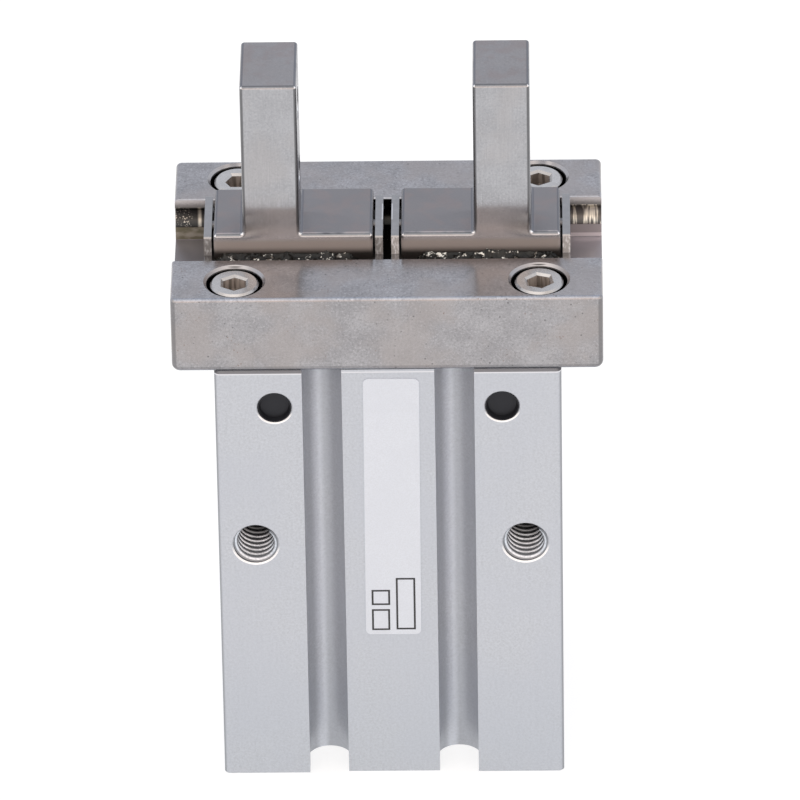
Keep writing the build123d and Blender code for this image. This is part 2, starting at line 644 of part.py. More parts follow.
def make_piston_rod():
    """Rod with a slotted head for the lever toes and a tapped hole for the piston screw."""
    head_y = LEVER_THICKNESS / 2
    low = head_z - head_half_height
    head = block(-HEAD_HALF_LENGTH, HEAD_HALF_LENGTH, -head_y, head_y, low, head_z + head_half_height)
    slot_half = LEVER_TOE_RADIUS + SLIDING
    slot = block(HEAD_WEB / 2, LONG, -LONG, LONG, head_z - slot_half, head_z + slot_half)
    rod = upright(ROD_RADIUS, rod_bottom, head_z - slot_half) + head
    screw_tip = rod_bottom + PISTON_SCREW_GRIP
    thread = upright(PISTON_SCREW_RADIUS + SEATED, rod_bottom, screw_tip + DRILL_POINT)
    return rod - [slot, mirrored(slot), thread]


def make_piston_lower():
    """Lower disc of the piston, with a counterbore for the screw."""
    radius = BORE_RADIUS - SLIDING
    disc = upright(radius, piston_bottom, magnet_bottom)
    disc = chamfer(disc.edges().group_by(Axis.Z)[0], PISTON_EDGE)
    counterbore = upright(PISTON_SCREW_HEAD_RADIUS + BOLT_CLEARANCE, 0, piston_screw_seat)
    hole = upright(PISTON_SCREW_RADIUS + BOLT_CLEARANCE, 0, LONG)
    return disc - [counterbore, hole]


def make_piston_upper():
    """Upper part of the piston, with a spigot for the magnet, the seal's groove and the rod's seat."""
    radius = BORE_RADIUS - SLIDING
    flange = upright(radius, flange_bottom, piston_top)
    flange = chamfer(flange.edges().group_by(Axis.Z)[-1], PISTON_EDGE)
    upper = flange + upright(SPIGOT_RADIUS, magnet_bottom, flange_bottom)
    groove_high = seal_bottom + seal_groove_height
    groove_radius = BORE_RADIUS - PISTON_SEAL_DEPTH
    groove = upright(LONG, seal_bottom, groove_high) - upright(groove_radius, seal_bottom, groove_high)
    seat = upright(ROD_RADIUS + SEATED, rod_bottom, LONG)
    hole = upright(PISTON_SCREW_RADIUS + BOLT_CLEARANCE, 0, LONG)
    return upper - [groove, seat, hole]


def make_magnet_ring():
    """Ring magnet that the switches sense, clamped between the piston's two parts."""
    outer = upright(magnet_radius, magnet_bottom, flange_bottom)
    return outer - upright(SPIGOT_RADIUS + SEATED, 0, LONG)


def make_piston_seal():
    """Piston seal with a lip groove in its upper face."""
    high = seal_bottom + PISTON_SEAL_HEIGHT
    inner = BORE_RADIUS - PISTON_SEAL_DEPTH + SEATED
    outer = BORE_RADIUS - RUNNING
    seal = upright(outer, seal_bottom, high) - upright(inner, 0, LONG)
    middle = (inner + outer) / 2
    lip = (outer - inner) / 6
    groove = upright(middle + lip, high - PISTON_SEAL_HEIGHT / 3, LONG) - upright(middle - lip, 0, LONG)
    return seal - groove


def make_piston_screw():
    """Screw that clamps the piston's two parts to the rod, put in from below."""
    screw = socket_screw(
        PISTON_SCREW_RADIUS,
        rod_bottom + PISTON_SCREW_GRIP - piston_screw_seat,
        PISTON_SCREW_HEAD_RADIUS,
        PISTON_SCREW_HEAD_HEIGHT,
        PISTON_SCREW_HEX,
    )
    return Pos(0, 0, piston_screw_seat) * Rot(180, 0, 0) * screw


def make_rod_seal():
    """Rod seal with a lip groove in its lower face, seated in the partition."""
    low = partition_bottom
    inner = ROD_RADIUS + RUNNING
    outer = ROD_SEAL_RADIUS - SEATED
    seal = upright(outer, low, low + ROD_SEAL_HEIGHT) - upright(inner, 0, LONG)
    middle = (inner + outer) / 2
    lip = (outer - inner) / 6
    groove = upright(middle + lip, 0, low + ROD_SEAL_HEIGHT / 3) - upright(middle - lip, 0, LONG)
    return seal - groove


def bumper(z_low):
    """Rubber ring that the piston stops against, with its lower face at z_low."""
    ring = upright(cap_nose_radius, z_low, z_low + BUMPER_THICKNESS)
    return ring - upright(BUMPER_HOLE_RADIUS, 0, LONG)


def make_cap():
    """Cap that closes the cylinder, with a gasket groove, a nose and a recessed underside."""
    flange = upright(BORE_RADIUS - SLIDING, cap_bottom, cap_shoulder)
    flange = chamfer(flange.edges(), HOLE_CHAMFER)
    cap = flange + upright(cap_nose_radius, cap_bottom, cap_top)
    middle = (cap_bottom + cap_shoulder) / 2
    half = GASKET_SECTION_RADIUS + BOLT_CLEARANCE
    floor_radius = gasket_ring_radius() - GASKET_SECTION_RADIUS - SEATED
    groove = upright(LONG, middle - half, middle + half) - upright(floor_radius, 0, LONG)
    recess = upright(CAP_RECESS_RADIUS, 0, cap_bottom + CAP_RECESS_DEPTH)
    tools = both_sides(upright(CAP_TOOL_HOLE_RADIUS, 0, cap_bottom + 2 * CAP_RECESS_DEPTH, CAP_TOOL_HOLE_X))
    return cap - [groove, recess, *tools]


def gasket_ring_radius():
    """Radius of the circle through the middle of the gasket's section."""
    return BORE_RADIUS - SEATED - GASKET_SECTION_RADIUS


def make_cap_gasket():
    """Round-section gasket in the cap's groove."""
    return Pos(0, 0, (cap_bottom + cap_shoulder) / 2) * Torus(gasket_ring_radius(), GASKET_SECTION_RADIUS)


def make_retaining_ring():
    """C-shaped spring ring under the cap, with two plier ears at its opening."""
    outer = BORE_RADIUS + RING_GROOVE_DEPTH - SLIDING
    inner = outer - RING_BAND
    ring = upright(outer, ring_bottom, cap_bottom) - upright(inner, 0, LONG)
    half = math.radians(RING_OPENING / 2)
    far = 2 * outer
    mouth_x = far * math.sin(half)
    mouth_y = -far * math.cos(half)
    ring -= extrude(Polygon((0, 0), (mouth_x, mouth_y), (-mouth_x, mouth_y), align=None), LONG)
    ear_path = inner - RING_EAR_HOLE
    ear_turn = half + RING_EAR_RADIUS / ear_path
    ear_place = (ear_path * math.sin(ear_turn), -ear_path * math.cos(ear_turn))
    ear = upright(RING_EAR_RADIUS, ring_bottom, cap_bottom, *ear_place)
    eye = upright(RING_EAR_HOLE, 0, LONG, *ear_place)
    for one_ear, one_eye in zip(both_sides(ear), both_sides(eye)):
        ring = ring + one_ear - one_eye
    return ring


def make_label():
    """Thin rectangular label on the front land."""
    face = RectangleRounded(LABEL_WIDTH, LABEL_HEIGHT, LABEL_CORNER)
    place = Plane(origin=(LABEL_X, land_y, label_z), x_dir=(1, 0, 0), z_dir=(0, -1, 0))
    return extrude(place * (Rot(0, 0, -LABEL_TILT) * face), LABEL_THICKNESS)


def all_pieces():
    """Every piece by the name of its node."""
    pieces = {
        "body": make_body(),
        "guide": make_guide(),
        "guide_screws": make_guide_screws(),
        "guide_dowels": make_dowels(),
        "cap": make_cap(),
        "cap_gasket": make_cap_gasket(),
        "retaining_ring": make_retaining_ring(),
        "bumper_lower": bumper(cap_top),
        "bumper_upper": bumper(partition_bottom - BUMPER_THICKNESS),
        "rod_seal": make_rod_seal(),
        "piston_lower": make_piston_lower(),
        "piston_upper": make_piston_upper(),
        "piston_screw": make_piston_screw(),
        "piston_seal": make_piston_seal(),
        "magnet_ring": make_magnet_ring(),
        "piston_rod": make_piston_rod(),
        "label": make_label(),
    }
    right_hand = {
        "finger": make_finger(),
        "stopper_inner": stopper_plate(BLOCK_INNER_X - STOPPER_THICKNESS),
        "stopper_outer": stopper_plate(block_outer_x),
        "stopper_pins": make_stopper_pins(),
        "balls_front": make_ball_row(-ball_row_y),
        "balls_rear": make_ball_row(ball_row_y),
        "lever": make_lever(),
        "lever_shaft": make_lever_shaft(),
        "roller": make_roller(),
        "roller_pin": make_roller_pin(),
    }
    for name, shape in right_hand.items():
        pieces[name + "_right"] = shape
        pieces[name + "_left"] = mirrored(shape)
    return pieces


os.makedirs("parts", exist_ok=True)
for name, shape in all_pieces().items():
    export_step(shape, f"parts/{name}.step")
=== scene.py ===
"""Finish of a pneumatic parallel gripper: metals, threads, grease, label marks and the studio around them."""

import json
import math

import bmesh
import bpy
from mathutils import Matrix, Vector, noise


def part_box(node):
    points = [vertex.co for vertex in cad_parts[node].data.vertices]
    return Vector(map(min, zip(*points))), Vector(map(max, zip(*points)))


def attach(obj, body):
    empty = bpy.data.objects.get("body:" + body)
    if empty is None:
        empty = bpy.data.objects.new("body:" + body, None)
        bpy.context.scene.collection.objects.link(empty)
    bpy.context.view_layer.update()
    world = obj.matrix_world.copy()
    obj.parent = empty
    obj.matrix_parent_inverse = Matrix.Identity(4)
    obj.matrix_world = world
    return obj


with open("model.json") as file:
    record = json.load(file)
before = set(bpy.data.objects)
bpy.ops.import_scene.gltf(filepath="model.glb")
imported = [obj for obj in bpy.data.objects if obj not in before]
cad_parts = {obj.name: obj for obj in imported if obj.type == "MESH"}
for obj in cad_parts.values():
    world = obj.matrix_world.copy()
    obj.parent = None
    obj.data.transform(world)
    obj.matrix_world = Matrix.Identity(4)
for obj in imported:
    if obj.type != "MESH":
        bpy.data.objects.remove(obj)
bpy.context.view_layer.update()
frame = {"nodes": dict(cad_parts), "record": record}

bl_info = {
    "name": "Parallel gripper finish",
    "version": (1, 0, 0),
    "blender": (4, 5, 0),
    "location": "View3D > Sidebar > Gripper",
    "description": "Finishes a pneumatic parallel gripper and sets up its studio",
    "category": "Object",
}

MM = 0.001
SIDES = {"left": -1.0, "right": 1.0}
FULL_TURN = 2.0 * math.pi
WHITE = (1.0, 1.0, 1.0, 1.0)
MOUNTS = {mount["name"]: mount for mount in frame["record"]["mounts"]}
# Angle between faces above which an edge of an added piece stays sharp, in degrees.
SHARP_ANGLE = 38.0

# Places where a finish changes, in millimetres: X and Y from the middle planes, and Z from the bottom.
# Body: middle of the switch grooves, how far out their tint and painted highlight reach and how far behind
# the front they start, and the radius of the painted highlight rim around a lever shaft's end.
GROOVE_X = 5.85
GROOVES_END_X = 8.95
GROOVE_MOUTH_DEPTH = 0.43
SHAFT_RIM_RADIUS = 1.66
# Guide: channel, ball grooves and the part of the channel beyond the slide blocks.
CHANNEL_FLOOR_Z = 46.17
CHANNEL_RIM_Z = 50.20
CHANNEL_WALL_Y = 6.15
CHANNEL_MOUTH_X = 18.975
CHANNEL_END_X = 15.4
BALL_GROOVE_LOW_Z = 47.42
BALL_GROOVE_HIGH_Z = 49.46
WALL_FOOT_Z = 46.54
# Height of the painted shade band along the guide's foot.
GUIDE_FOOT_HEIGHT = 0.55
# Guide screws: counterbore, head and socket; below COUNTERBORE_DARK_Z the counterbore is painted near black
# as shade, and the heads' sides are painted dark as shade.
COUNTERBORE_RIM_RADIUS = 2.725
HEAD_RADIUS = 2.15
HEAD_SIDE_RADIUS = 2.07
SOCKET_RADIUS = 1.325
HEAD_EDGE_Z = 49.96
COUNTERBORE_DARK_Z = 49.92
# Fingers and stopper plates: slide block's top, a foot darkened by grime and painted shade, a painted
# highlight strip, greasy film and a painted highlight on the inner plates.
BLOCK_ROOT_Z = 53.0
SOIL_AND_SHADE_TOP_Z = 51.6
SOIL_AND_SHADE_FADE_Z = 50.55
EDGE_HIGHLIGHT_Y = -3.6
FILM_TOP_Z = 51.475
INNER_HIGHLIGHT_X = 0.48
INNER_HIGHLIGHT_Y = (-0.8, 1.9)


def colour_property(name, description, default):
    """A colour that a user may change."""
    return bpy.props.FloatVectorProperty(
        name=name,
        description=description,
        subtype="COLOR",
        default=default,
        min=0.0,
        max=1.0,
    )


class GripperFinish(bpy.types.PropertyGroup):
    """Colours and surface sizes of the gripper's metals."""

    body_colour: colour_property("Body", "Colour of the hard-anodised body", (0.531, 0.561, 0.605))
    guide_colour: colour_property("Guide steel", "Colour of the ground guide", (0.375, 0.366, 0.375))
    finger_colour: colour_property("Finger steel", "Colour of the ground fingers", (0.440, 0.440, 0.456))
    plate_colour: colour_property("Stopper plates", "Colour of the pressed sheet", (0.345, 0.340, 0.343))
    screw_colour: colour_property("Screw plating", "Colour of the plated screws", (0.56, 0.545, 0.535))
    grease_colour: colour_property("Grease", "Colour of the dark grease", (0.009, 0.009, 0.008))
    speck_size: bpy.props.FloatProperty(
        name="Speck spacing",
        description="Distance between the small dark specks on the ground steel, in millimetres",
        default=0.55,
        min=0.1,
        max=5.0,
    )


class GripperThreads(bpy.types.PropertyGroup):
    """Sizes of the thread ridges in the tapped holes."""

    ridge_share: bpy.props.FloatProperty(
        name="Ridge height",
        description="Height of a thread ridge as a share of its pitch",
        default=0.50,
        min=0.1,
        max=0.8,
    )
    start: bpy.props.FloatProperty(
        name="Thread start",
        description="Depth at which the thread starts below the mouth of its hole, in pitches",
        default=0.50,
        min=0.5,
        max=3.0,
    )
    steps_per_turn: bpy.props.IntProperty(
        name="Steps per turn",
        description="Number of straight steps in one turn of a thread",
        default=48,
        min=12,
        max=96,
    )


class GripperStage(bpy.types.PropertyGroup):
    """The camera, the lamp, the sky and the floor."""

    azimuth: bpy.props.FloatProperty(
        name="Azimuth",
        description="How far the camera stands round to the right of the front",
        subtype="ANGLE",
        default=math.radians(0.932),
    )
    elevation: bpy.props.FloatProperty(
        name="Elevation",
        description="Height of the camera above the horizon",
        subtype="ANGLE",
        default=math.radians(32.381),
    )
    roll: bpy.props.FloatProperty(
        name="Roll",
        description="Turn of the camera about its own line of sight",
        subtype="ANGLE",
        default=math.radians(-0.960),
    )
    distance: bpy.props.FloatProperty(
        name="Distance",
        description="Distance from the camera to the point it looks at",
        subtype="DISTANCE",
        unit="LENGTH",
        default=0.9489,
    )
    focal_length: bpy.props.FloatProperty(
        name="Focal length",
        description="Focal length in millimetres on a 36 mm sensor",
        default=477.12,
    )
    target: bpy.props.FloatVectorProperty(
        name="Target",
        description="Point that the camera looks at",
        subtype="TRANSLATION",
        unit="LENGTH",
        default=(0.000855, 0.0, 0.032271),
    )
    lamp_power: bpy.props.FloatProperty(
        name="Lamp",
        description="Power of the large soft lamp above the front",
        unit="POWER",
        default=1.6,
    )
    front_sky: colour_property("Front light", "Even light from the camera's side", (1.0, 0.93, 0.885))
    back_sky: colour_property("Back light", "Even light from behind the gripper", (0.73, 0.76, 0.83))
    sky_strength: bpy.props.FloatProperty(
        name="Even light",
        description="Strength of the even light from all round",
        default=1.12,
    )


class Value:
    """A node's output that takes part in Python arithmetic."""

    def __init__(self, graph, socket):
        self.graph = graph
        self.socket = socket

    def math(self, operation, first, second):
        return self.graph.node("ShaderNodeMath", {"operation": operation}, {0: first, 1: second})

    def __add__(self, other):
        return self.math("ADD", self, other)

    __radd__ = __add__

    def __sub__(self, other):
        return self.math("SUBTRACT", self, other)

    def __rsub__(self, other):
        return self.math("SUBTRACT", other, self)

    def __mul__(self, other):
        return self.math("MULTIPLY", self, other)

    __rmul__ = __mul__


class Graph:
    """The shader nodes of one material or world."""

    def __init__(self, owner):
        owner.use_nodes = True
        self.owner = owner
        self.tree = owner.node_tree
        self.tree.nodes.clear()

    def node(self, kind, settings=None, inputs=None, output=0):
        """Adds a node, with its settings first and then the values or links of its sockets."""
        made = self.tree.nodes.new(kind)
        for name, setting in (settings or {}).items():
            setattr(made, name, setting)
        for name, value in (inputs or {}).items():
            if isinstance(value, Value):
                self.tree.links.new(value.socket, made.inputs[name])
            else:
                made.inputs[name].default_value = value
        return Value(self, made.outputs[output])

    def place(self):
        """Object coordinates in millimetres."""
        return self.scaled(self.node("ShaderNodeTexCoord", output="Object"), (1 / MM, 1 / MM, 1 / MM))

    def scaled(self, place, factors):
        """The place, stretched along each axis."""
        return self.vector("MULTIPLY", place, factors)

    def vector(self, operation, first, second=None, output=0):
        """Vector Math on one or two vectors."""
        inputs = {0: first} if second is None else {0: first, 1: second}
        return self.node("ShaderNodeVectorMath", {"operation": operation}, inputs, output)

    def axis(self, vector, name):
        """One of a vector's three numbers."""
        return self.node("ShaderNodeSeparateXYZ", {}, {"Vector": vector}, name)

    def noise(self, place, scale, detail=3.0, roughness=0.55):
        """Even noise from 0 to 1, with scale as its cells per millimetre."""
        sockets = {"Vector": place, "Scale": scale, "Detail": detail, "Roughness": roughness}
        return self.node("ShaderNodeTexNoise", {"noise_dimensions": "3D"}, sockets)

    def dots(self, place, scale, radius, share):
        """Small round dots, one in each cell that falls within share, with soft rims."""
        cells = self.tree.nodes.new("ShaderNodeTexVoronoi")
        self.tree.links.new(place.socket, cells.inputs["Vector"])
        cells.inputs["Scale"].default_value = scale
        near = self.between(Value(self, cells.outputs["Distance"]), radius, radius * 0.4)
        return near * self.between(self.axis(Value(self, cells.outputs["Color"]), "X"), share, share - 0.05)

    def sides(self):
        """How far a face looks along each axis, whichever way."""
        return self.vector("ABSOLUTE", self.node("ShaderNodeTexCoord", output="Normal"))

    def distance(self, place, centre, plane):
        """Distance from a centre in a plane, which has 1 for each of its axes and 0 for the third."""
        offset = self.vector("MULTIPLY", self.vector("SUBTRACT", place, centre), plane)
        return self.vector("LENGTH", offset, output="Value")

    def above(self, value, level, soft=0.04):
        """1 above a level and 0 below it, blended within soft on either side."""
        return self.between(value, level - soft, level + soft)

    def below(self, value, level, soft=0.04):
        """1 below a level and 0 above it, blended within soft on either side."""
        return self.between(value, level + soft, level - soft)

    def between(self, value, low, high, to_low=0.0, to_high=1.0):
        """Maps low to high smoothly onto to_low to to_high, and holds it outside."""
        if low > high:
            low, high, to_low, to_high = high, low, to_high, to_low
        sockets = {"Value": value, 1: low, 2: high, 3: to_low, 4: to_high}
        return self.node("ShaderNodeMapRange", {"interpolation_type": "SMOOTHSTEP"}, sockets)

    def mix(self, factor, first, second, blend="MIX"):
        """Mixes two colours."""
        settings = {"data_type": "RGBA", "blend_type": blend}
        return self.node("ShaderNodeMix", settings, {0: factor, 6: first, 7: second}, output=2)

    def tint(self, factor, tone, *factors):
        """Makes each channel darker or lighter where factor is 1."""
        return self.mix(factor, tone, (*factors, 1.0), "MULTIPLY")

    def bump(self, height, strength, distance):
        """Normal from a height, with distance in metres."""
        sockets = {"Height": height, "Strength": strength, "Distance": distance}
        return self.node("ShaderNodeBump", {}, sockets)

    def finish(self, **sockets):
        """Closes a material with one principled shader."""
        named = {name.replace("_", " "): value for name, value in sockets.items()}
        return self.close("ShaderNodeOutputMaterial", self.node("ShaderNodeBsdfPrincipled", {}, named))

    def close(self, output, shader):
        """Links the last shader to the output."""
        self.tree.links.new(shader.socket, self.tree.nodes.new(output).inputs["Surface"])
        return self.owner


def new_material(name):
    """An empty material's graph."""
    return Graph(bpy.data.materials.new(name))


def shade(colour, *factors):
    """The colour with each channel, or all three, darker or lighter, and full alpha."""
    wide = factors * 3 if len(factors) == 1 else factors
    return (*(c * f for c, f in zip(tuple(colour)[:3], wide)), 1.0)


def broken_edges(g, first, second, third):
    """1 on the rounded or bevelled edges between faces along the first two axes, without their corners."""
    sides = g.sides()
    along = g.between(g.axis(sides, first), 0.05, 0.30) * g.between(g.axis(sides, second), 0.35, 0.65)
    return along * g.between(g.axis(sides, third), 0.35, 0.20)


def corners(g):
    """1 on the rounded corners where three faces meet, and 0 elsewhere."""
    sides = g.sides()
    near = [g.between(g.axis(sides, name), 0.30, 0.45) for name in "XYZ"]
    return near[0] * near[1] * near[2]


def anodised_finish(colour):
    """Light hard-anodised aluminium with fine grain, faint extrusion lines, and painted highlights and shade
    on edges and holes.
    """
    g = new_material("anodised_aluminium")
    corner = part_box("body")[1] / MM
    place = g.place()
    grain = g.noise(place, 4.5, detail=4.0, roughness=0.75)
    lines = g.noise(g.scaled(place, (1.0, 1.0, 0.02)), 3.5)
    cloud = g.noise(place, 0.12, detail=2.0)
    tone = g.mix(g.between(grain, 0.25, 0.75), shade(colour, 0.86), shade(colour, 1.12))
    tone = g.mix(g.between(cloud, 0.35, 0.65) * 0.4, tone, shade(colour, 0.96, 0.97, 1.0))
    tone = g.mix(g.between(lines, 0.3, 0.7) * 0.2, tone, shade(colour, 1.05))
    tone = body_edge_tone(g, place, corner, tone, colour)
    tone = body_hole_tone(g, place, corner, tone, colour)
    height = grain * 0.7 + lines * 0.3
    return g.finish(
        Base_Color=tone,
        Metallic=0.45,
        Roughness=g.between(grain, 0.2, 0.8, 0.34, 0.46),
        Normal=g.bump(height, 0.3, 0.03 * MM),
    )


def body_edge_tone(g, place, corner, tone, colour):
    """Painted shade on corners and lower end, a painted highlight in each groove, a painted shadow on the top
    bevel and a highlight line.
    """
    around = g.vector("ABSOLUTE", place)
    out = g.axis(around, "X")
    depth = g.axis(around, "Y")
    high = g.axis(place, "Z")
    sides = g.sides()
    level = g.axis(sides, "Z")
    # Painted shade on the rounded upright corners, where the faces look to the side.
    turned_with_painted_shading = g.above(g.axis(sides, "X"), 0.70, 0.25) * g.above(g.axis(sides, "Y"), 0.085, 0.065)
    turned_with_painted_shading = turned_with_painted_shading * g.above(out, corner.x - 0.65, 0.05)
    tone = g.mix(turned_with_painted_shading, tone, shade(colour, 0.50))
    # Painted shade: darker towards the bottom, near the floor.
    tone = g.tint(g.below(high, 10.0, 8.0), tone, 0.94, 0.955, 0.965)
    groove = g.below(depth, corner.y - GROOVE_MOUTH_DEPTH, 0.05) * g.below(out, GROOVES_END_X, 0.05)
    groove = groove * g.below(level, 0.4, 0.1)
    side = g.between(g.axis(place, "X"), -0.1, 0.1, -1.0, 1.0)
    offset = (out - GROOVE_X) * side
    lit = g.above(offset, -1.05, 0.30) * g.below(offset, -0.20, 0.30)
    tone = g.tint(groove, tone, 1.02, 1.005, 0.995)
    # Painted highlight: a lighter band on the left side of each switch groove.
    tone = g.tint(groove * lit, tone, 1.40, 1.40, 1.40)
    # Painted shadow on the top bevel under the guide, and a painted highlight line just below the bevel.
    bevel = g.above(level, 0.5, 0.1) * g.below(level, 0.90, 0.05) * g.above(high, corner.z - 0.45, 0.05)
    tone = g.mix(bevel * 0.80, tone, shade(colour, 0.20, 0.18, 0.18))
    gleam = g.above(high, corner.z - 0.325, 0.015) * g.below(high, corner.z - 0.215, 0.015)
    return g.mix(gleam * g.above(depth, corner.y - 0.34), tone, (0.75, 0.765, 0.80, 1.0))


def body_hole_tone(g, place, corner, tone, colour):
    """Painted highlights on the lower rims of the shafts' ends and tapped holes, and painted shade on the
    wall inside the tapped holes.
    """
    around = g.vector("ABSOLUTE", place)
    depth = g.axis(around, "Y")
    high = g.axis(place, "Z")
    shaft = sum(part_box("lever_shaft_right"), Vector()) / 2 / MM
    from_shaft = g.distance(around, (shaft.x, 0.0, shaft.z), (1.0, 0.0, 1.0))
    # Painted highlight: white lower rim around each lever shaft's end.
    rim = g.below(from_shaft, SHAFT_RIM_RADIUS, 0.02) * g.below(high, shaft.z - 0.7, 0.3)
    tone = g.mix(rim, tone, WHITE)
    holes, radius = hole_places(MOUNTS["front_screws"], (1.0, 0.0, 0.0))
    hole = holes[1] / MM
    beyond = g.distance(around, (hole.x, 0.0, hole.z), (1.0, 0.0, 1.0)) - radius / MM
    # Painted highlight: white lower rim at the mouth of each tapped hole.
    rim = g.below(beyond, 0.145, 0.015) * g.below(high, hole.z - 0.5, 0.5)
    tone = g.mix(rim, tone, WHITE)
    # Painted shade: dark wall just inside the mouths of the tapped holes.
    wall = g.below(beyond, 0.045, 0.015) * g.below(depth, corner.y - 0.12, 0.02)
    return g.mix(wall, tone, shade(colour, 0.30))


def ground_tone(g, place, colour, speck_size, specks, rust):
    """Colour of ground steel: mottling, warm patches, small dark specks and clusters of rusty ones."""
    mottle = g.noise(place, 0.45, detail=5.0, roughness=0.6)
    grain = g.noise(place, 4.5, detail=4.0, roughness=0.75)
    warm = g.between(g.noise(place, 0.16, detail=3.0), 0.45, 0.62)
    tone = g.mix(g.between(mottle, 0.3, 0.7), shade(colour, 0.89), shade(colour, 1.09))
    tone = g.mix(g.between(grain, 0.50, 0.72) * 0.8, tone, shade(colour, 1.40))
    tone = g.mix(g.between(grain, 0.50, 0.28) * 0.8, tone, shade(colour, 0.62))
    tone = g.mix(warm * 0.55, tone, shade(colour, 1.06, 0.99, 0.93))
    dark = g.dots(place, 1.0 / speck_size, 0.20, 0.45)
    crowd = g.between(g.noise(place, 0.3, detail=3.0), 0.40, 0.60)
    tone = g.mix(dark * crowd * specks, tone, shade(colour, 0.30))
    red = g.dots(place, 2.0 / speck_size, 0.32, 0.60)
    cluster = g.between(g.noise(place, 0.42, detail=4.0), 0.56, 0.66)
    return g.mix(red * cluster * rust, tone, (0.20, 0.11, 0.075, 1.0))


def upward(g):
    """1 on faces that look up, and 0 on the others."""
    return g.between(g.axis(g.node("ShaderNodeTexCoord", output="Normal"), "Z"), 0.75, 0.95)


def guide_finish(settings):
    """Ground steel outside, lathe-cut counterbores, and a channel painted dark as shade whose open ends are
    soiled; painted light and shade throughout.
    """
    g = new_material("guide_steel")
    place = g.place()
    colour = settings.guide_colour
    high = g.axis(place, "Z")
    around = g.vector("ABSOLUTE", place)
    out = g.axis(around, "X")
    right = g.above(g.axis(place, "X"), 0.0, 1.0)
    tone = ground_tone(g, place, colour, settings.speck_size, 0.8, 0.7)
    # Painted shade on the rounded upright edges.
    tone = g.mix(broken_edges(g, "X", "Y", "Z") * 0.6, tone, shade(colour, 0.42))
    # Painted reflection: a cool tint on the rounded top edges.
    tone = g.tint(broken_edges(g, "Y", "Z", "X"), tone, 0.97, 1.05, 1.15)
    turned_with_painted_shading = g.below(g.distance(around, guide_screw_centre(), (1.0, 1.0, 0.0)), COUNTERBORE_RIM_RADIUS, 0.025)
    # Painted light on the counterbore walls, and painted shade near black at their bottom, round the screw
    # heads.
    tone = g.mix(turned_with_painted_shading, tone, shade(colour, 1.35, 1.33, 1.30))
    tone = g.mix(turned_with_painted_shading * g.below(high, COUNTERBORE_DARK_Z, 0.06), tone, (0.015, 0.015, 0.015, 1.0))
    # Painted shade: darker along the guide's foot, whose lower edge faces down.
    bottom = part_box("guide")[0].z / MM
    tone = g.tint(g.below(high, bottom + GUIDE_FOOT_HEIGHT, 0.05), tone, 0.77, 0.77, 0.78)

    inside = g.below(g.axis(around, "Y"), CHANNEL_WALL_Y, 0.05) * g.below(high, CHANNEL_RIM_Z)
    inside = inside * g.below(out, CHANNEL_MOUTH_X, 0.015)
    ends = inside * g.above(out, CHANNEL_END_X, 0.1)
    lip = g.above(high, BALL_GROOVE_HIGH_Z)
    groove = g.above(high, BALL_GROOVE_LOW_Z) * (1.0 - lip)
    low = g.below(high, BALL_GROOVE_LOW_Z)
    foot = right * g.above(high, CHANNEL_FLOOR_Z, 0.03) * g.below(high, WALL_FOOT_Z)
    flames = g.noise(g.scaled(place, (2.2, 0.30, 0.22)), 1.0, detail=3.0, roughness=0.55)
    smear = g.noise(g.scaled(place, (0.5, 1.0, 1.6)), 1.0, detail=3.0)
    lip_painted_light = g.above(high + g.noise(place, 6.0) * 0.3, 50.0, 0.35)
    smeared = g.between(smear, 0.4, 0.6)
    olive = g.mix(smeared, shade(colour, 0.50, 0.47, 0.32), shade(colour, 0.98, 0.92, 0.76))
    wall = g.mix(right, olive, shade(colour, 1.05, 0.97, 0.97))
    ground = g.mix(right, shade(colour, 0.85, 0.82, 0.84), shade(colour, 1.15, 1.10, 1.15))
    # Painted shade: the channel is painted near black under the slide blocks.
    tone = g.mix(inside, tone, (0.022, 0.022, 0.020, 1.0))
    # Painted light on the lip at the open ends: lighter at the top and darker lower down, with a noisy edge.
    tone = g.mix(ends * lip, tone, g.mix(lip_painted_light, shade(colour, 0.75, 0.75, 0.73), shade(colour, 1.9)))
    tone = g.mix(ends * groove, tone, soiled_groove_and_highlights(g, place, out, right, flames, colour))
    tone = g.mix(ends * low, tone, wall)
    # Painted highlight: a bright strip along the foot of the wall at the right end.
    tone = g.mix(ends * foot, tone, shade(colour, 2.2, 2.1, 2.1))
    tone = g.mix(ends * g.below(high, CHANNEL_FLOOR_Z, 0.03), tone, ground)

    scratches = g.noise(g.scaled(place, (0.2, 3.0, 3.0)), 4.0, detail=4.0, roughness=0.7)
    roughness = g.between(scratches, 0.25, 0.75, 0.17, 0.25) + turned_with_painted_shading * 0.12 + ends * 0.15 + ends * lip * 0.3
    height = g.noise(place, 1.2, detail=4.0) * 0.2 + ends * groove * flames
    return g.finish(
        Base_Color=tone,
        Metallic=1.0 - ends * (low - foot * low) * 0.45,
        Roughness=roughness,
        Anisotropic=0.9,
        Anisotropic_Rotation=0.25,
        Normal=g.bump(height, 0.3, 0.03 * MM),
    )


def soiled_groove_and_highlights(g, place, out, right, flames, colour):
    """Dark soiling in the ball grooves' ends, with painted highlights: specks and a streak at the left,
    flames at the right.
    """
    specks = g.between(g.noise(place, 7.0, detail=2.0), 0.58, 0.66) * g.above(out, 17.6, 0.3)
    streak = g.below(out, 16.95, 0.10) * g.above(out, 16.675, 0.075)
    # Painted highlights: the bright specks, streak and flames.
    bright = g.mix(right, specks * 0.8 + streak * 0.6, g.between(flames, 0.46, 0.58))
    soiled = g.mix(right, shade(colour, 0.19, 0.19, 0.18), shade(colour, 0.40, 0.38, 0.35))
    return g.mix(bright, soiled, shade(colour, 2.4, 2.3, 1.95))


def guide_screw_centre():
    """The corner screw's centre in millimetres, without its sign."""
    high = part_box("guide_screws")[1] / MM
    return (high.x - HEAD_RADIUS, high.y - HEAD_RADIUS, 0.0)


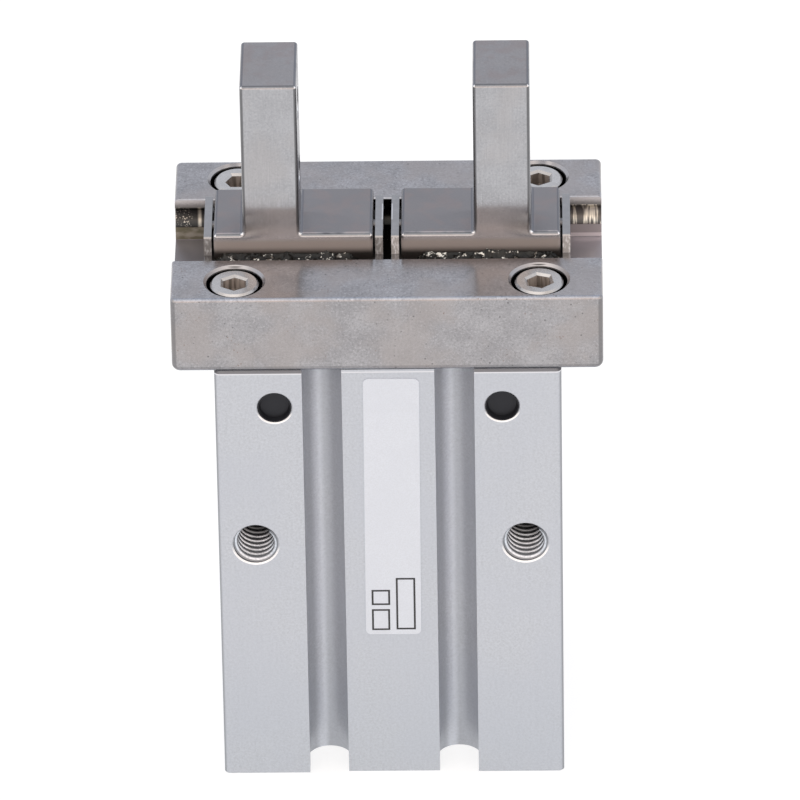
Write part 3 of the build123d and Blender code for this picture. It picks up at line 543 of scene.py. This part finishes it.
def finger_finish(settings):
    """Ground steel with upright lines, painted light and shade on its tops, edges and corners, and a foot
    darkened by grime and painted shade.
    """
    g = new_material("finger_steel")
    place = g.place()
    high = g.axis(place, "Z")
    colour = settings.finger_colour
    tone = g.mix(0.35, ground_tone(g, place, colour, settings.speck_size, 0.3, 0.1), shade(colour, 0.99))
    # Painted shade on the rounded upright edges.
    tone = g.mix(broken_edges(g, "X", "Y", "Z") * 0.85, tone, shade(colour, 0.25))
    low = g.below(high, BLOCK_ROOT_Z, 0.4)
    streaks = g.noise(g.scaled(place, (3.0, 3.0, 0.08)), 4.0, detail=3.0, roughness=0.6)
    # Painted reflection: the lower part of the fingers is lighter and warmer.
    tone = g.mix(low * 0.5, tone, shade(colour, 1.22, 1.16, 1.12))
    tone = g.mix(g.between(streaks, 0.35, 0.65) * 0.18, tone, shade(colour, 0.72))
    top = upward(g)
    soiled = g.noise(place, 0.5, detail=4.0)
    # Painted shade: the tops are darker, the slide blocks' tops more so.
    tone = g.mix(top * 0.5, tone, shade(colour, 0.55, 0.49, 0.45))
    tone = g.mix(top * low * 0.70, tone, shade(colour, 0.52, 0.50, 0.50))
    tone = g.mix(top * g.between(soiled, 0.45, 0.62) * 0.45, tone, shade(colour, 0.72, 0.60, 0.56))
    # Painted shade on the side bevels of the tops.
    tone = g.mix(broken_edges(g, "X", "Z", "Y") * 0.8, tone, shade(colour, 0.35, 0.36, 0.39))
    # Painted shade on the rounded front and back top edges.
    dim = g.mix(low, (0.54, 0.56, 0.58, 1.0), (0.50, 0.53, 0.55, 1.0))
    tone = g.mix(broken_edges(g, "Y", "Z", "X"), tone, dim, "MULTIPLY")
    # Painted highlight: white on the rounded corners.
    tone = g.mix(corners(g), tone, WHITE)
    # Painted highlight: a lighter, patchy strip along the front edge of the slide blocks' tops.
    edge_highlight = top * low * g.below(g.axis(place, "Y"), EDGE_HIGHLIGHT_Y, 0.1) * g.between(soiled, 0.30, 0.55)
    tone = g.tint(edge_highlight, tone, 2.10, 2.04, 1.95)
    # Grime and painted shade: the slide blocks turn dark brown, then near black, lower down towards the
    # channel.
    soil_and_shade = g.below(high, SOIL_AND_SHADE_TOP_Z, 0.3)
    dirt_and_shade = g.mix(g.above(high, SOIL_AND_SHADE_FADE_Z, 0.4), (0.03, 0.026, 0.024, 1.0), (0.35, 0.305, 0.285, 1.0))
    return g.finish(
        Base_Color=g.mix(soil_and_shade, tone, dirt_and_shade),
        Metallic=1.0 - soil_and_shade * 0.8,
        Roughness=g.between(streaks, 0.25, 0.75, 0.18, 0.25) + soil_and_shade * 0.3,
        Anisotropic=1.0,
        Normal=g.bump(streaks * (1.0 - top), 0.5, 0.012 * MM),
    )


def plate_finish(settings):
    """Pressed stainless sheet with a painted highlight on the inner plates by the middle, and a greasy film
    low on its ends, painted lighter on the right.
    """
    g = new_material("stopper_sheet")
    place = g.place()
    colour = settings.plate_colour
    marks = g.noise(place, 1.6, detail=4.0, roughness=0.6)
    low = g.below(g.axis(place, "Z"), FILM_TOP_Z, 0.125) * g.above(g.axis(g.sides(), "Y"), 0.5, 0.1)
    right = g.above(g.axis(place, "X"), 0.0, 1.0)
    tone = g.mix(g.between(marks, 0.3, 0.7), shade(colour, 0.94), shade(colour, 1.05))
    grime = g.noise(g.scaled(place, (1.0, 1.0, 0.4)), 5.0, detail=3.0)
    # Greasy film, painted lighter on the right plates than on the left as painted light.
    film = g.mix(right, shade(colour, 0.70, 0.68, 0.66), shade(colour, 1.50, 1.46, 1.40))
    film = g.mix(g.between(grime, 0.48, 0.66), film, g.mix(right, shade(colour, 1.4), shade(colour, 2.6)))
    tone = g.mix(low, tone, film)
    along = g.axis(place, "Y")
    start, end = INNER_HIGHLIGHT_Y
    # Painted highlight: a lighter strip on the inner plates beside the middle gap.
    inner_highlight = g.below(g.axis(g.vector("ABSOLUTE", place), "X"), INNER_HIGHLIGHT_X, 0.02)
    inner_highlight = inner_highlight * g.above(along, start, 0.1) * g.below(along, end, 0.1)
    tone = g.tint(inner_highlight, tone, 1.9, 1.9, 1.9)
    return g.finish(
        Base_Color=tone,
        Metallic=1.0 - low * 0.75,
        Roughness=g.between(marks, 0.3, 0.7, 0.16, 0.24) + low * 0.2,
        Normal=g.bump(marks * 0.3 + grime * low, 0.3, 0.04 * MM),
    )


def plain_metal_finish(name, colour, roughness, metallic=1.0):
    """Smooth metal with slight handling marks."""
    g = new_material(name)
    marks = g.noise(g.place(), 1.5, detail=5.0, roughness=0.65)
    return g.finish(
        Base_Color=g.mix(g.between(marks, 0.3, 0.7), shade(colour, 0.88), shade(colour, 1.05)),
        Metallic=metallic,
        Roughness=g.between(marks, 0.3, 0.7, roughness * 0.85, roughness * 1.3),
        Normal=g.bump(marks, 0.15, 0.02 * MM),
    )


def screw_finish(settings):
    """Plated screw heads, with brown grime and painted shade in upright streaks in the sockets, and sides
    painted dark as shade.
    """
    g = new_material("screw_plating")
    place = g.place()
    colour = settings.screw_colour
    marks = g.noise(place, 2.0, detail=4.0, roughness=0.6)
    tone = g.mix(g.between(marks, 0.3, 0.7), shade(colour, 0.92), shade(colour, 1.05))
    away = g.distance(g.vector("ABSOLUTE", place), guide_screw_centre(), (1.0, 1.0, 0.0))
    high = g.axis(place, "Z")
    socket = g.below(away, SOCKET_RADIUS, 0.025) * g.below(high, HEAD_EDGE_Z - 0.04, 0.02)
    streaks = g.noise(g.scaled(place, (2.5, 2.5, 0.2)), 1.0, detail=3.0)
    # Brown grime in the sockets, with lighter and darker upright streaks as painted shade.
    dirt_and_shade = g.mix(g.between(streaks, 0.40, 0.60), (0.14, 0.11, 0.09, 1.0), (0.42, 0.355, 0.31, 1.0))
    sides = g.above(away, HEAD_SIDE_RADIUS, 0.02) * g.below(high, HEAD_EDGE_Z, 0.02)
    tone = g.mix(socket * 0.9, tone, dirt_and_shade)
    # Painted shade: near black on the heads' sides, in the gap round them.
    tone = g.mix(sides, tone, (0.02, 0.02, 0.02, 1.0))
    return g.finish(
        Base_Color=tone,
        Metallic=1.0 - socket * 0.8,
        Roughness=g.between(marks, 0.3, 0.7, 0.22, 0.32) + socket * 0.3,
        Normal=g.bump(marks, 0.08, 0.02 * MM),
    )


def grease_finish(settings):
    """Black grease with a few bright curls, wet all over."""
    g = new_material("dark_grease")
    place = g.place()
    colour = settings.grease_colour
    curls = g.noise(g.scaled(place, (1.0, 1.3, 1.6)), 1.7, detail=3.0, roughness=0.6)
    bright = g.between(curls, 0.58, 0.63)
    haze = g.between(g.noise(place, 0.8, detail=2.0), 0.5, 0.65)
    tone = g.mix(haze * 0.6, shade(colour, 1.0), shade(colour, 3.2, 3.0, 2.8))
    tone = g.mix(bright, tone, (0.60, 0.58, 0.53, 1.0))
    return g.finish(
        Base_Color=tone,
        Metallic=bright,
        Roughness=0.16,
        Specular_IOR_Level=0.3,
        Normal=g.bump(curls, 0.8, 0.15 * MM),
    )


def rubber_finish(name, colour):
    """Dull moulded rubber."""
    g = new_material(name)
    grain = g.noise(g.place(), 5.0, detail=4.0)
    tone = g.mix(g.between(grain, 0.3, 0.7), shade(colour, 0.8), shade(colour, 1.3))
    return g.finish(Base_Color=tone, Roughness=0.7, Normal=g.bump(grain, 0.3, 0.03 * MM))


def label_finish():
    """Silvery film with a faint grain."""
    g = new_material("label_film")
    place = g.place()
    grain = g.noise(place, 9.0)
    cloud = g.noise(place, 0.3, detail=2.0)
    tone = g.mix(g.between(grain, 0.3, 0.7), (0.64, 0.68, 0.735, 1.0), (0.69, 0.735, 0.80, 1.0))
    tone = g.mix(g.between(cloud, 0.4, 0.6) * 0.3, tone, (0.63, 0.67, 0.73, 1.0))
    return g.finish(Base_Color=tone, Metallic=0.15, Roughness=0.35, Normal=g.bump(grain, 0.1, 0.02 * MM))


def ink_finish():
    """Black print with slight wear."""
    g = new_material("label_ink")
    wear = g.noise(g.place(), 9.0, detail=4.0, roughness=0.7)
    tone = g.mix(g.between(wear, 0.55, 0.75), (0.02, 0.02, 0.022, 1.0), (0.12, 0.12, 0.13, 1.0))
    return g.finish(Base_Color=tone, Roughness=0.45)


def dress(names, material):
    """Gives CAD nodes their material."""
    for name in names:
        mesh = frame["nodes"][name].data
        mesh.materials.clear()
        mesh.materials.append(material)


def pair(name):
    """The left-hand and right-hand nodes of a name."""
    return [f"{name}_{side}" for side in SIDES]


def new_piece(name, bm, material, body):
    """Turns a bmesh in metres into a piece that rides on a body."""
    bmesh.ops.recalc_face_normals(bm, faces=bm.faces)
    for face in bm.faces:
        face.smooth = True
    mesh = bpy.data.meshes.new(name)
    bm.to_mesh(mesh)
    bm.free()
    mesh.set_sharp_from_angle(angle=math.radians(SHARP_ANGLE))
    mesh.materials.append(material)
    piece = bpy.data.objects.new(name, mesh)
    bpy.context.scene.collection.objects.link(piece)
    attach(piece, body)


class GRIPPER_OT_finish_body(bpy.types.Operator):
    """Finish the body, the cap and the piston"""

    bl_idname = "gripper.finish_body"
    bl_label = "Finish body"

    def execute(self, context):
        settings = context.scene.gripper_finish
        dress(["body"], anodised_finish(settings.body_colour))
        chromated = plain_metal_finish("chromated_aluminium", (0.62, 0.60, 0.52), 0.35)
        dress(["cap", "piston_lower", "piston_upper"], chromated)
        return {"FINISHED"}


class GRIPPER_OT_finish_steel(bpy.types.Operator):
    """Finish the guide, the fingers and the stopper plates"""

    bl_idname = "gripper.finish_steel"
    bl_label = "Finish steel"

    def execute(self, context):
        settings = context.scene.gripper_finish
        dress(["guide"], guide_finish(settings))
        dress(pair("finger"), finger_finish(settings))
        dress(pair("stopper_inner") + pair("stopper_outer"), plate_finish(settings))
        return {"FINISHED"}


class GRIPPER_OT_finish_hardware(bpy.types.Operator):
    """Finish the screws, balls, pins, levers and shafts"""

    bl_idname = "gripper.finish_hardware"
    bl_label = "Finish hardware"

    def execute(self, context):
        settings = context.scene.gripper_finish
        dress(["guide_screws"], screw_finish(settings))
        black_screw = plain_metal_finish("black_screw", (0.05, 0.05, 0.05), 0.35, metallic=0.5)
        dress(["piston_screw"], black_screw)
        balls = pair("balls_front") + pair("balls_rear")
        rollers = pair("roller") + pair("roller_pin") + ["guide_dowels"]
        dress(balls + rollers, plain_metal_finish("bearing_steel", (0.62, 0.62, 0.62), 0.12))
        black_oxide = plain_metal_finish("black_oxide", (0.0155, 0.0165, 0.0215), 0.42, metallic=0.4)
        dress(pair("lever_shaft"), black_oxide)
        lever_steel = plain_metal_finish("lever_steel", (0.30, 0.30, 0.31), 0.35)
        dress(pair("lever") + pair("stopper_pins"), lever_steel)
        dress(["piston_rod"], plain_metal_finish("rod_steel", (0.60, 0.60, 0.61), 0.18))
        dress(["retaining_ring"], plain_metal_finish("spring_steel", (0.10, 0.10, 0.10), 0.45))
        return {"FINISHED"}


class GRIPPER_OT_finish_soft(bpy.types.Operator):
    """Finish the seals, bumpers and magnet"""

    bl_idname = "gripper.finish_soft"
    bl_label = "Finish seals"

    def execute(self, context):
        dress(["cap_gasket", "rod_seal", "piston_seal"], rubber_finish("nitrile_rubber", (0.02, 0.02, 0.02)))
        dress(["bumper_lower", "bumper_upper"], rubber_finish("bumper_rubber", (0.05, 0.05, 0.05)))
        dress(["magnet_ring"], rubber_finish("bonded_magnet", (0.06, 0.05, 0.045)))
        return {"FINISHED"}


# Tapped holes: mount, direction from one hole of a pair to the next, pitch and depth in millimetres, body.
TAPPED_HOLES = (
    ("front_screws", (1.0, 0.0, 0.0), 0.7, 6.8, "housing"),
    ("back_screws", (1.0, 0.0, 0.0), 0.7, 6.8, "housing"),
    ("base_screws", (1.0, 0.0, 0.0), 0.7, 5.3, "housing"),
    ("port_lower", None, 0.8, 4.3, "housing"),
    ("port_upper", None, 0.8, 4.3, "housing"),
    ("finger_left_screws", (0.0, 0.0, 1.0), 0.5, 4.8, "finger_left"),
    ("finger_right_screws", (0.0, 0.0, 1.0), 0.5, 4.8, "finger_right"),
)
# Half widths of a thread ridge at its root and at its crest, as shares of its pitch.
ROOT_HALF = 0.48
CREST_HALF = 0.20
# How far the first turn is cut back at the mouth, as a share of the ridge's height.
LEAD_IN = 0.2
# How far a thread's root reaches into the wall, in millimetres.
ROOT_OVERLAP = 0.02
# Depth over which the crests' painted shade fades in, in pitches.
CREST_START = 0.5
SLOT_OF_BODY = {"housing": "anodised_body", "finger_left": "finger_steel", "finger_right": "finger_steel"}


def thread_finish(name, colour):
    """Bright flanks with crests painted dark as shade, and painted shade growing darker farther in."""
    g = new_material(name)
    crest = g.node("ShaderNodeAttribute", {"attribute_name": "crest"}, output="Fac")
    inside = g.node("ShaderNodeAttribute", {"attribute_name": "turns_in"}, output="Fac")
    marks = g.noise(g.place(), 4.5, detail=4.0)
    tone = g.mix(g.between(marks, 0.3, 0.7), shade(colour, 1.00), shade(colour, 1.45))
    # Painted shade: dark roots in the first turn, and dark crests.
    foot = g.between(crest, 0.50, 0.35) * g.between(inside, 1.3, 1.1)
    crest = g.between(crest, 0.75, 0.98)
    tone = g.mix(crest, g.mix(foot, tone, shade(colour, 0.45)), shade(colour, 0.45))
    # Painted shade: the threads turn near black farther into the hole.
    return g.finish(
        Base_Color=g.mix(g.between(inside, 4.5, 7.5) * 0.9, tone, shade(colour, 0.07)),
        Metallic=0.9 - crest * 0.7,
        Roughness=0.28 + crest * 0.2,
        Normal=g.bump(marks, 0.1, 0.02 * MM),
    )


def hole_places(mount, along):
    """The mouths of a mount's holes in metres, and their radius."""
    dims = mount["dims"]
    middle = Vector(mount["pos_m"])
    if along is None:
        return [middle], dims["r_mm"] * MM
    half = Vector(along) * next(size for name, size in dims.items() if name.startswith("spacing")) * MM / 2
    return [middle - half, middle + half], dims["hole_r_mm"] * MM


def add_thread(bm, mouth, outward, radius, pitch, depth, settings):
    """Winds one closed ridge down the wall of a tapped hole."""
    inward = -outward
    side = inward.orthogonal().normalized()
    crest = radius - pitch * settings.ridge_share
    root = radius + ROOT_OVERLAP * MM
    first = mouth + inward * pitch * settings.start
    profile = ((root, -ROOT_HALF), (crest, -CREST_HALF), (crest, CREST_HALF), (root, ROOT_HALF))
    is_crest, turns_in = [float_layer(bm, name) for name in ("crest", "turns_in")]
    earlier = set(bm.verts)
    section = [bm.verts.new(first + side * r + inward * pitch * rise) for r, rise in profile]
    for vert, (r, _) in zip(section, profile):
        vert[is_crest] = float(r == crest)
    ring = [bm.edges.new(ends) for ends in zip(section, section[1:] + section[:1])]
    turns = (depth - pitch * (settings.start + 0.5)) / pitch
    bmesh.ops.spin(
        bm,
        geom=section + ring,
        cent=mouth,
        axis=inward,
        dvec=inward * pitch / settings.steps_per_turn,
        angle=FULL_TURN * turns,
        steps=round(turns * settings.steps_per_turn),
        use_merge=False,
        use_duplicate=False,
    )
    for vert in set(bm.verts) - earlier:
        below_mouth = (vert.co - mouth).dot(inward)
        turn = below_mouth / pitch
        vert[turns_in] = turn
        vert[is_crest] *= min(1.0, turn / CREST_START)
        out = vert.co - mouth - inward * below_mouth
        least = crest + (root - crest) * max(0.0, 1.0 - turn) * LEAD_IN
        if out.length < least:
            vert.co += out * (least / out.length - 1.0)


def float_layer(bm, name):
    """The mesh's layer of one number at each vertex, made if it isn't there."""
    return bm.verts.layers.float.get(name) or bm.verts.layers.float.new(name)


class GRIPPER_OT_cut_threads(bpy.types.Operator):
    """Cut the threads of the tapped holes"""

    bl_idname = "gripper.cut_threads"
    bl_label = "Cut threads"

    def execute(self, context):
        settings = context.scene.gripper_threads
        finish = context.scene.gripper_finish
        materials = {
            "anodised_body": thread_finish("tapped_aluminium", finish.body_colour),
            "finger_steel": thread_finish("tapped_steel", finish.finger_colour),
        }
        for name, along, pitch, depth, body in TAPPED_HOLES:
            mount = MOUNTS[name]
            outward = Vector(mount["axis"])
            places, radius = hole_places(mount, along)
            bm = bmesh.new()
            for mouth in places:
                add_thread(bm, mouth, outward, radius, pitch * MM, depth * MM, settings)
            bmesh.ops.holes_fill(bm, edges=bm.edges, sides=4)
            slot = SLOT_OF_BODY[body]
            new_piece(name.replace("screws", "threads") + "_ridges", bm, materials[slot], body)
        return {"FINISHED"}


# Empty boxes printed on the label, in millimetres: distance from its left and bottom edges, width and height.
LABEL_BOXES = (
    (2.74, 0.52, 1.73, 5.50),
    (0.56, 0.47, 1.62, 2.23),
    (0.56, 3.15, 1.65, 1.61),
)
LINE_WIDTH = 0.17
INK_HEIGHT = 0.012


class GRIPPER_OT_print_label(bpy.types.Operator):
    """Finish the label and print its empty boxes"""

    bl_idname = "gripper.print_label"
    bl_label = "Print label"

    def execute(self, context):
        dress(["label"], label_finish())
        low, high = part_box("label")
        front = low.y - INK_HEIGHT * MM
        bm = bmesh.new()
        for left, bottom, width, height in LABEL_BOXES:
            made = bmesh.ops.create_grid(bm, x_segments=1, y_segments=1, size=0.5)
            centre = Vector((low.x + (left + width / 2) * MM, front, low.z + (bottom + height / 2) * MM))
            stand = Matrix.Rotation(math.radians(90.0), 4, "X")
            size = Matrix.Diagonal((width * MM, height * MM, 1.0, 1.0))
            bmesh.ops.transform(bm, matrix=Matrix.Translation(centre) @ stand @ size, verts=made["verts"])
            panel = made["verts"][0].link_faces[0]
            bmesh.ops.inset_region(
                bm,
                faces=[panel],
                thickness=LINE_WIDTH * MM,
                use_boundary=True,
                use_even_offset=True,
            )
            bmesh.ops.delete(bm, geom=[panel], context="FACES_ONLY")
        rims = bm.faces[:]
        back = bmesh.ops.extrude_face_region(bm, geom=rims, use_keep_orig=True)["geom"]
        moved = [v for v in back if isinstance(v, bmesh.types.BMVert)]
        bmesh.ops.translate(bm, vec=(0.0, INK_HEIGHT * MM, 0.0), verts=moved)
        new_piece("label_boxes", bm, ink_finish(), "housing")
        return {"FINISHED"}


# Grease beside the slide blocks: its ends along X, sides along Y and bottom and mean top, in millimetres.
GREASE_ENDS = (2.6, 15.25)
GREASE_SIDES = (4.03, 5.10)
GREASE_HEIGHTS = (49.62, 49.76)
GREASE_LUMP = 0.30
# How far the grease climbs the slide blocks, and the length over which its ends run out, in millimetres.
GREASE_CLIMB = 0.45
GREASE_TAPER = 0.8
GREASE_CELLS = (120, 10)


class GRIPPER_OT_spread_grease(bpy.types.Operator):
    """Spread grease over the rows of balls"""

    bl_idname = "gripper.spread_grease"
    bl_label = "Spread grease"

    def execute(self, context):
        material = grease_finish(context.scene.gripper_finish)
        for side, sign in SIDES.items():
            for row, facing in {"front": -1.0, "rear": 1.0}.items():
                bm = bmesh.new()
                add_grease(bm, sign, facing)
                new_piece(f"grease_{row}_{side}", bm, material, f"balls_{side}")
        return {"FINISHED"}


def add_grease(bm, sign, facing):
    """A lumpy strip of grease along one row of balls."""
    start, end = GREASE_ENDS
    near, far = GREASE_SIDES
    bottom, top = GREASE_HEIGHTS
    bmesh.ops.create_grid(bm, x_segments=GREASE_CELLS[0], y_segments=GREASE_CELLS[1], size=0.5)
    size = Matrix.Diagonal(((end - start) * MM, (far - near) * MM, 1.0, 1.0))
    centre = Vector((sign * (start + end) / 2, facing * (near + far) / 2, bottom)) * MM
    bmesh.ops.transform(bm, matrix=Matrix.Translation(centre) @ size, verts=bm.verts)
    raised = bmesh.ops.extrude_face_region(bm, geom=bm.faces[:], use_keep_orig=True)["geom"]
    for vert in (v for v in raised if isinstance(v, bmesh.types.BMVert)):
        place = vert.co / MM
        lump = max(0.0, noise.fractal(place * 1.1, 0.6, 2.1, 4) + 0.2)
        climb = GREASE_CLIMB * ((far - abs(place.y)) / (far - near)) ** 2
        to_end = min(abs(place.x) - start, end - abs(place.x))
        taper = min(1.0, to_end / GREASE_TAPER)
        vert.co.z += (top - bottom + GREASE_LUMP * lump + climb) * max(0.05, taper) * MM


# Studio, in metres: the lamp's place and width, half the floor's width, and the camera's nearest distance.
LAMP_PLACE = (-0.25, -0.60, 1.05)
LAMP_WIDTH = 1.2
FLOOR_HALF = 3.0
NEAREST = 0.05
# Width of the camera's sensor, in millimetres.
SENSOR_WIDTH = 36.0
# The floor's greys: its shadow's and its glow's in view, and its paper's for bounced light.
SHADOW_GREY = 0.30
GLOW = 0.78
PAPER_GREY = 0.80
# Tint of the sky low in front.
LOW_SKY_TINT = (1.38, 1.31, 1.27)


class GRIPPER_OT_stage(bpy.types.Operator):
    """Set up the floor, the light and the camera"""

    bl_idname = "gripper.stage"
    bl_label = "Set up studio"

    def execute(self, context):
        settings = context.scene.gripper_stage
        make_floor()
        make_sky(context.scene, settings)
        make_lamp("soft_lamp", LAMP_PLACE, LAMP_WIDTH, settings.lamp_power)
        make_camera(context.scene, settings)
        context.scene.view_settings.view_transform = "Standard"
        return {"FINISHED"}


def make_lamp(name, place, size, power):
    """Soft square lamp aimed at the gripper."""
    lamp = bpy.data.lights.new(name, "AREA")
    lamp.size = size
    lamp.energy = power
    holder = bpy.data.objects.new(name, lamp)
    bpy.context.scene.collection.objects.link(holder)
    direction = (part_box("body")[0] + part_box("body")[1]) / 2 - Vector(place)
    holder.matrix_world = Matrix.Translation(place) @ direction.to_track_quat("-Z", "Y").to_matrix().to_4x4()


def make_camera(scene, settings):
    """Camera at the photograph's viewing angle."""
    cos_e, sin_e = math.cos(settings.elevation), math.sin(settings.elevation)
    cos_a, sin_a = math.cos(settings.azimuth), math.sin(settings.azimuth)
    back = Vector((sin_a * cos_e, -cos_a * cos_e, sin_e))
    right = (-back).cross(Vector((0.0, 0.0, 1.0))).normalized()
    up = right.cross(-back)
    turn = Matrix((right, up, back)).transposed() @ Matrix.Rotation(settings.roll, 3, "Z")
    lens = bpy.data.cameras.new("camera")
    lens.lens = settings.focal_length
    lens.sensor_width = SENSOR_WIDTH
    lens.clip_start = NEAREST
    camera = bpy.data.objects.new("camera", lens)
    scene.collection.objects.link(camera)
    place = Vector(settings.target) + back * settings.distance
    camera.matrix_world = Matrix.Translation(place) @ turn.to_4x4()
    scene.camera = camera


def make_floor():
    """Pale floor that looks white and keeps a soft shadow."""
    g = new_material("pale_floor")
    path = g.tree.nodes.new("ShaderNodeLightPath")
    kinds = ("Is Camera Ray", "Is Glossy Ray", "Is Transmission Ray")
    rays = [Value(g, path.outputs[name]) for name in kinds]
    seen = g.between(rays[0] + rays[1] + rays[2], 0.0, 1.0)
    shadowed = g.node("ShaderNodeBsdfDiffuse", {}, {"Color": shade(WHITE, SHADOW_GREY)})
    glow = g.node("ShaderNodeEmission", {}, {"Color": WHITE, "Strength": GLOW})
    white = g.node("ShaderNodeAddShader", {}, {0: shadowed, 1: glow})
    paper = g.node("ShaderNodeBsdfDiffuse", {}, {"Color": shade(WHITE, PAPER_GREY)})
    g.close("ShaderNodeOutputMaterial", g.node("ShaderNodeMixShader", {}, {0: seen, 1: paper, 2: white}))
    bm = bmesh.new()
    bmesh.ops.create_grid(bm, x_segments=1, y_segments=1, size=FLOOR_HALF)
    mesh = bpy.data.meshes.new("floor")
    bm.to_mesh(mesh)
    bm.free()
    mesh.materials.append(g.owner)
    floor = bpy.data.objects.new("floor", mesh)
    bpy.context.scene.collection.objects.link(floor)


def make_sky(scene, settings):
    """Even light, cool behind the gripper and a little warmer and brighter in front."""
    scene.world = bpy.data.worlds.new("studio")
    g = Graph(scene.world)
    along = g.axis(g.node("ShaderNodeTexCoord", output="Generated"), "Y")
    front = g.between(along, 0.35, -0.55)
    tone = g.mix(front, shade(settings.back_sky, 1.0), shade(settings.front_sky, 1.0))
    tone = g.mix(g.between(along, -0.52, -0.84), tone, shade(settings.front_sky, *LOW_SKY_TINT))
    sky = g.node("ShaderNodeBackground", {}, {"Color": tone, "Strength": settings.sky_strength})
    g.close("ShaderNodeOutputWorld", sky)


class GRIPPER_PT_panel(bpy.types.Panel):
    """Lists the gripper's finishing steps"""

    bl_idname = "GRIPPER_PT_panel"
    bl_label = "Gripper"
    bl_space_type = "VIEW_3D"
    bl_region_type = "UI"
    bl_category = "Gripper"

    def draw(self, context):
        for step in STEPS:
            self.layout.operator(step.bl_idname)


STEPS = (
    GRIPPER_OT_finish_body,
    GRIPPER_OT_finish_steel,
    GRIPPER_OT_finish_hardware,
    GRIPPER_OT_finish_soft,
    GRIPPER_OT_cut_threads,
    GRIPPER_OT_print_label,
    GRIPPER_OT_spread_grease,
    GRIPPER_OT_stage,
)
SETTINGS = {
    "gripper_finish": GripperFinish,
    "gripper_threads": GripperThreads,
    "gripper_stage": GripperStage,
}


def register():
    for settings in SETTINGS.values():
        bpy.utils.register_class(settings)
    for step in STEPS + (GRIPPER_PT_panel,):
        bpy.utils.register_class(step)
    for name, settings in SETTINGS.items():
        setattr(bpy.types.Scene, name, bpy.props.PointerProperty(type=settings))


def unregister():
    for name in SETTINGS:
        delattr(bpy.types.Scene, name)
    for step in reversed(STEPS + (GRIPPER_PT_panel,)):
        bpy.utils.unregister_class(step)
    for settings in SETTINGS.values():
        bpy.utils.unregister_class(settings)


def main():
    """Runs every step."""
    register()
    for step in STEPS:
        category, name = step.bl_idname.split(".")
        getattr(getattr(bpy.ops, category), name)()


if __name__ == "__main__":
    main()
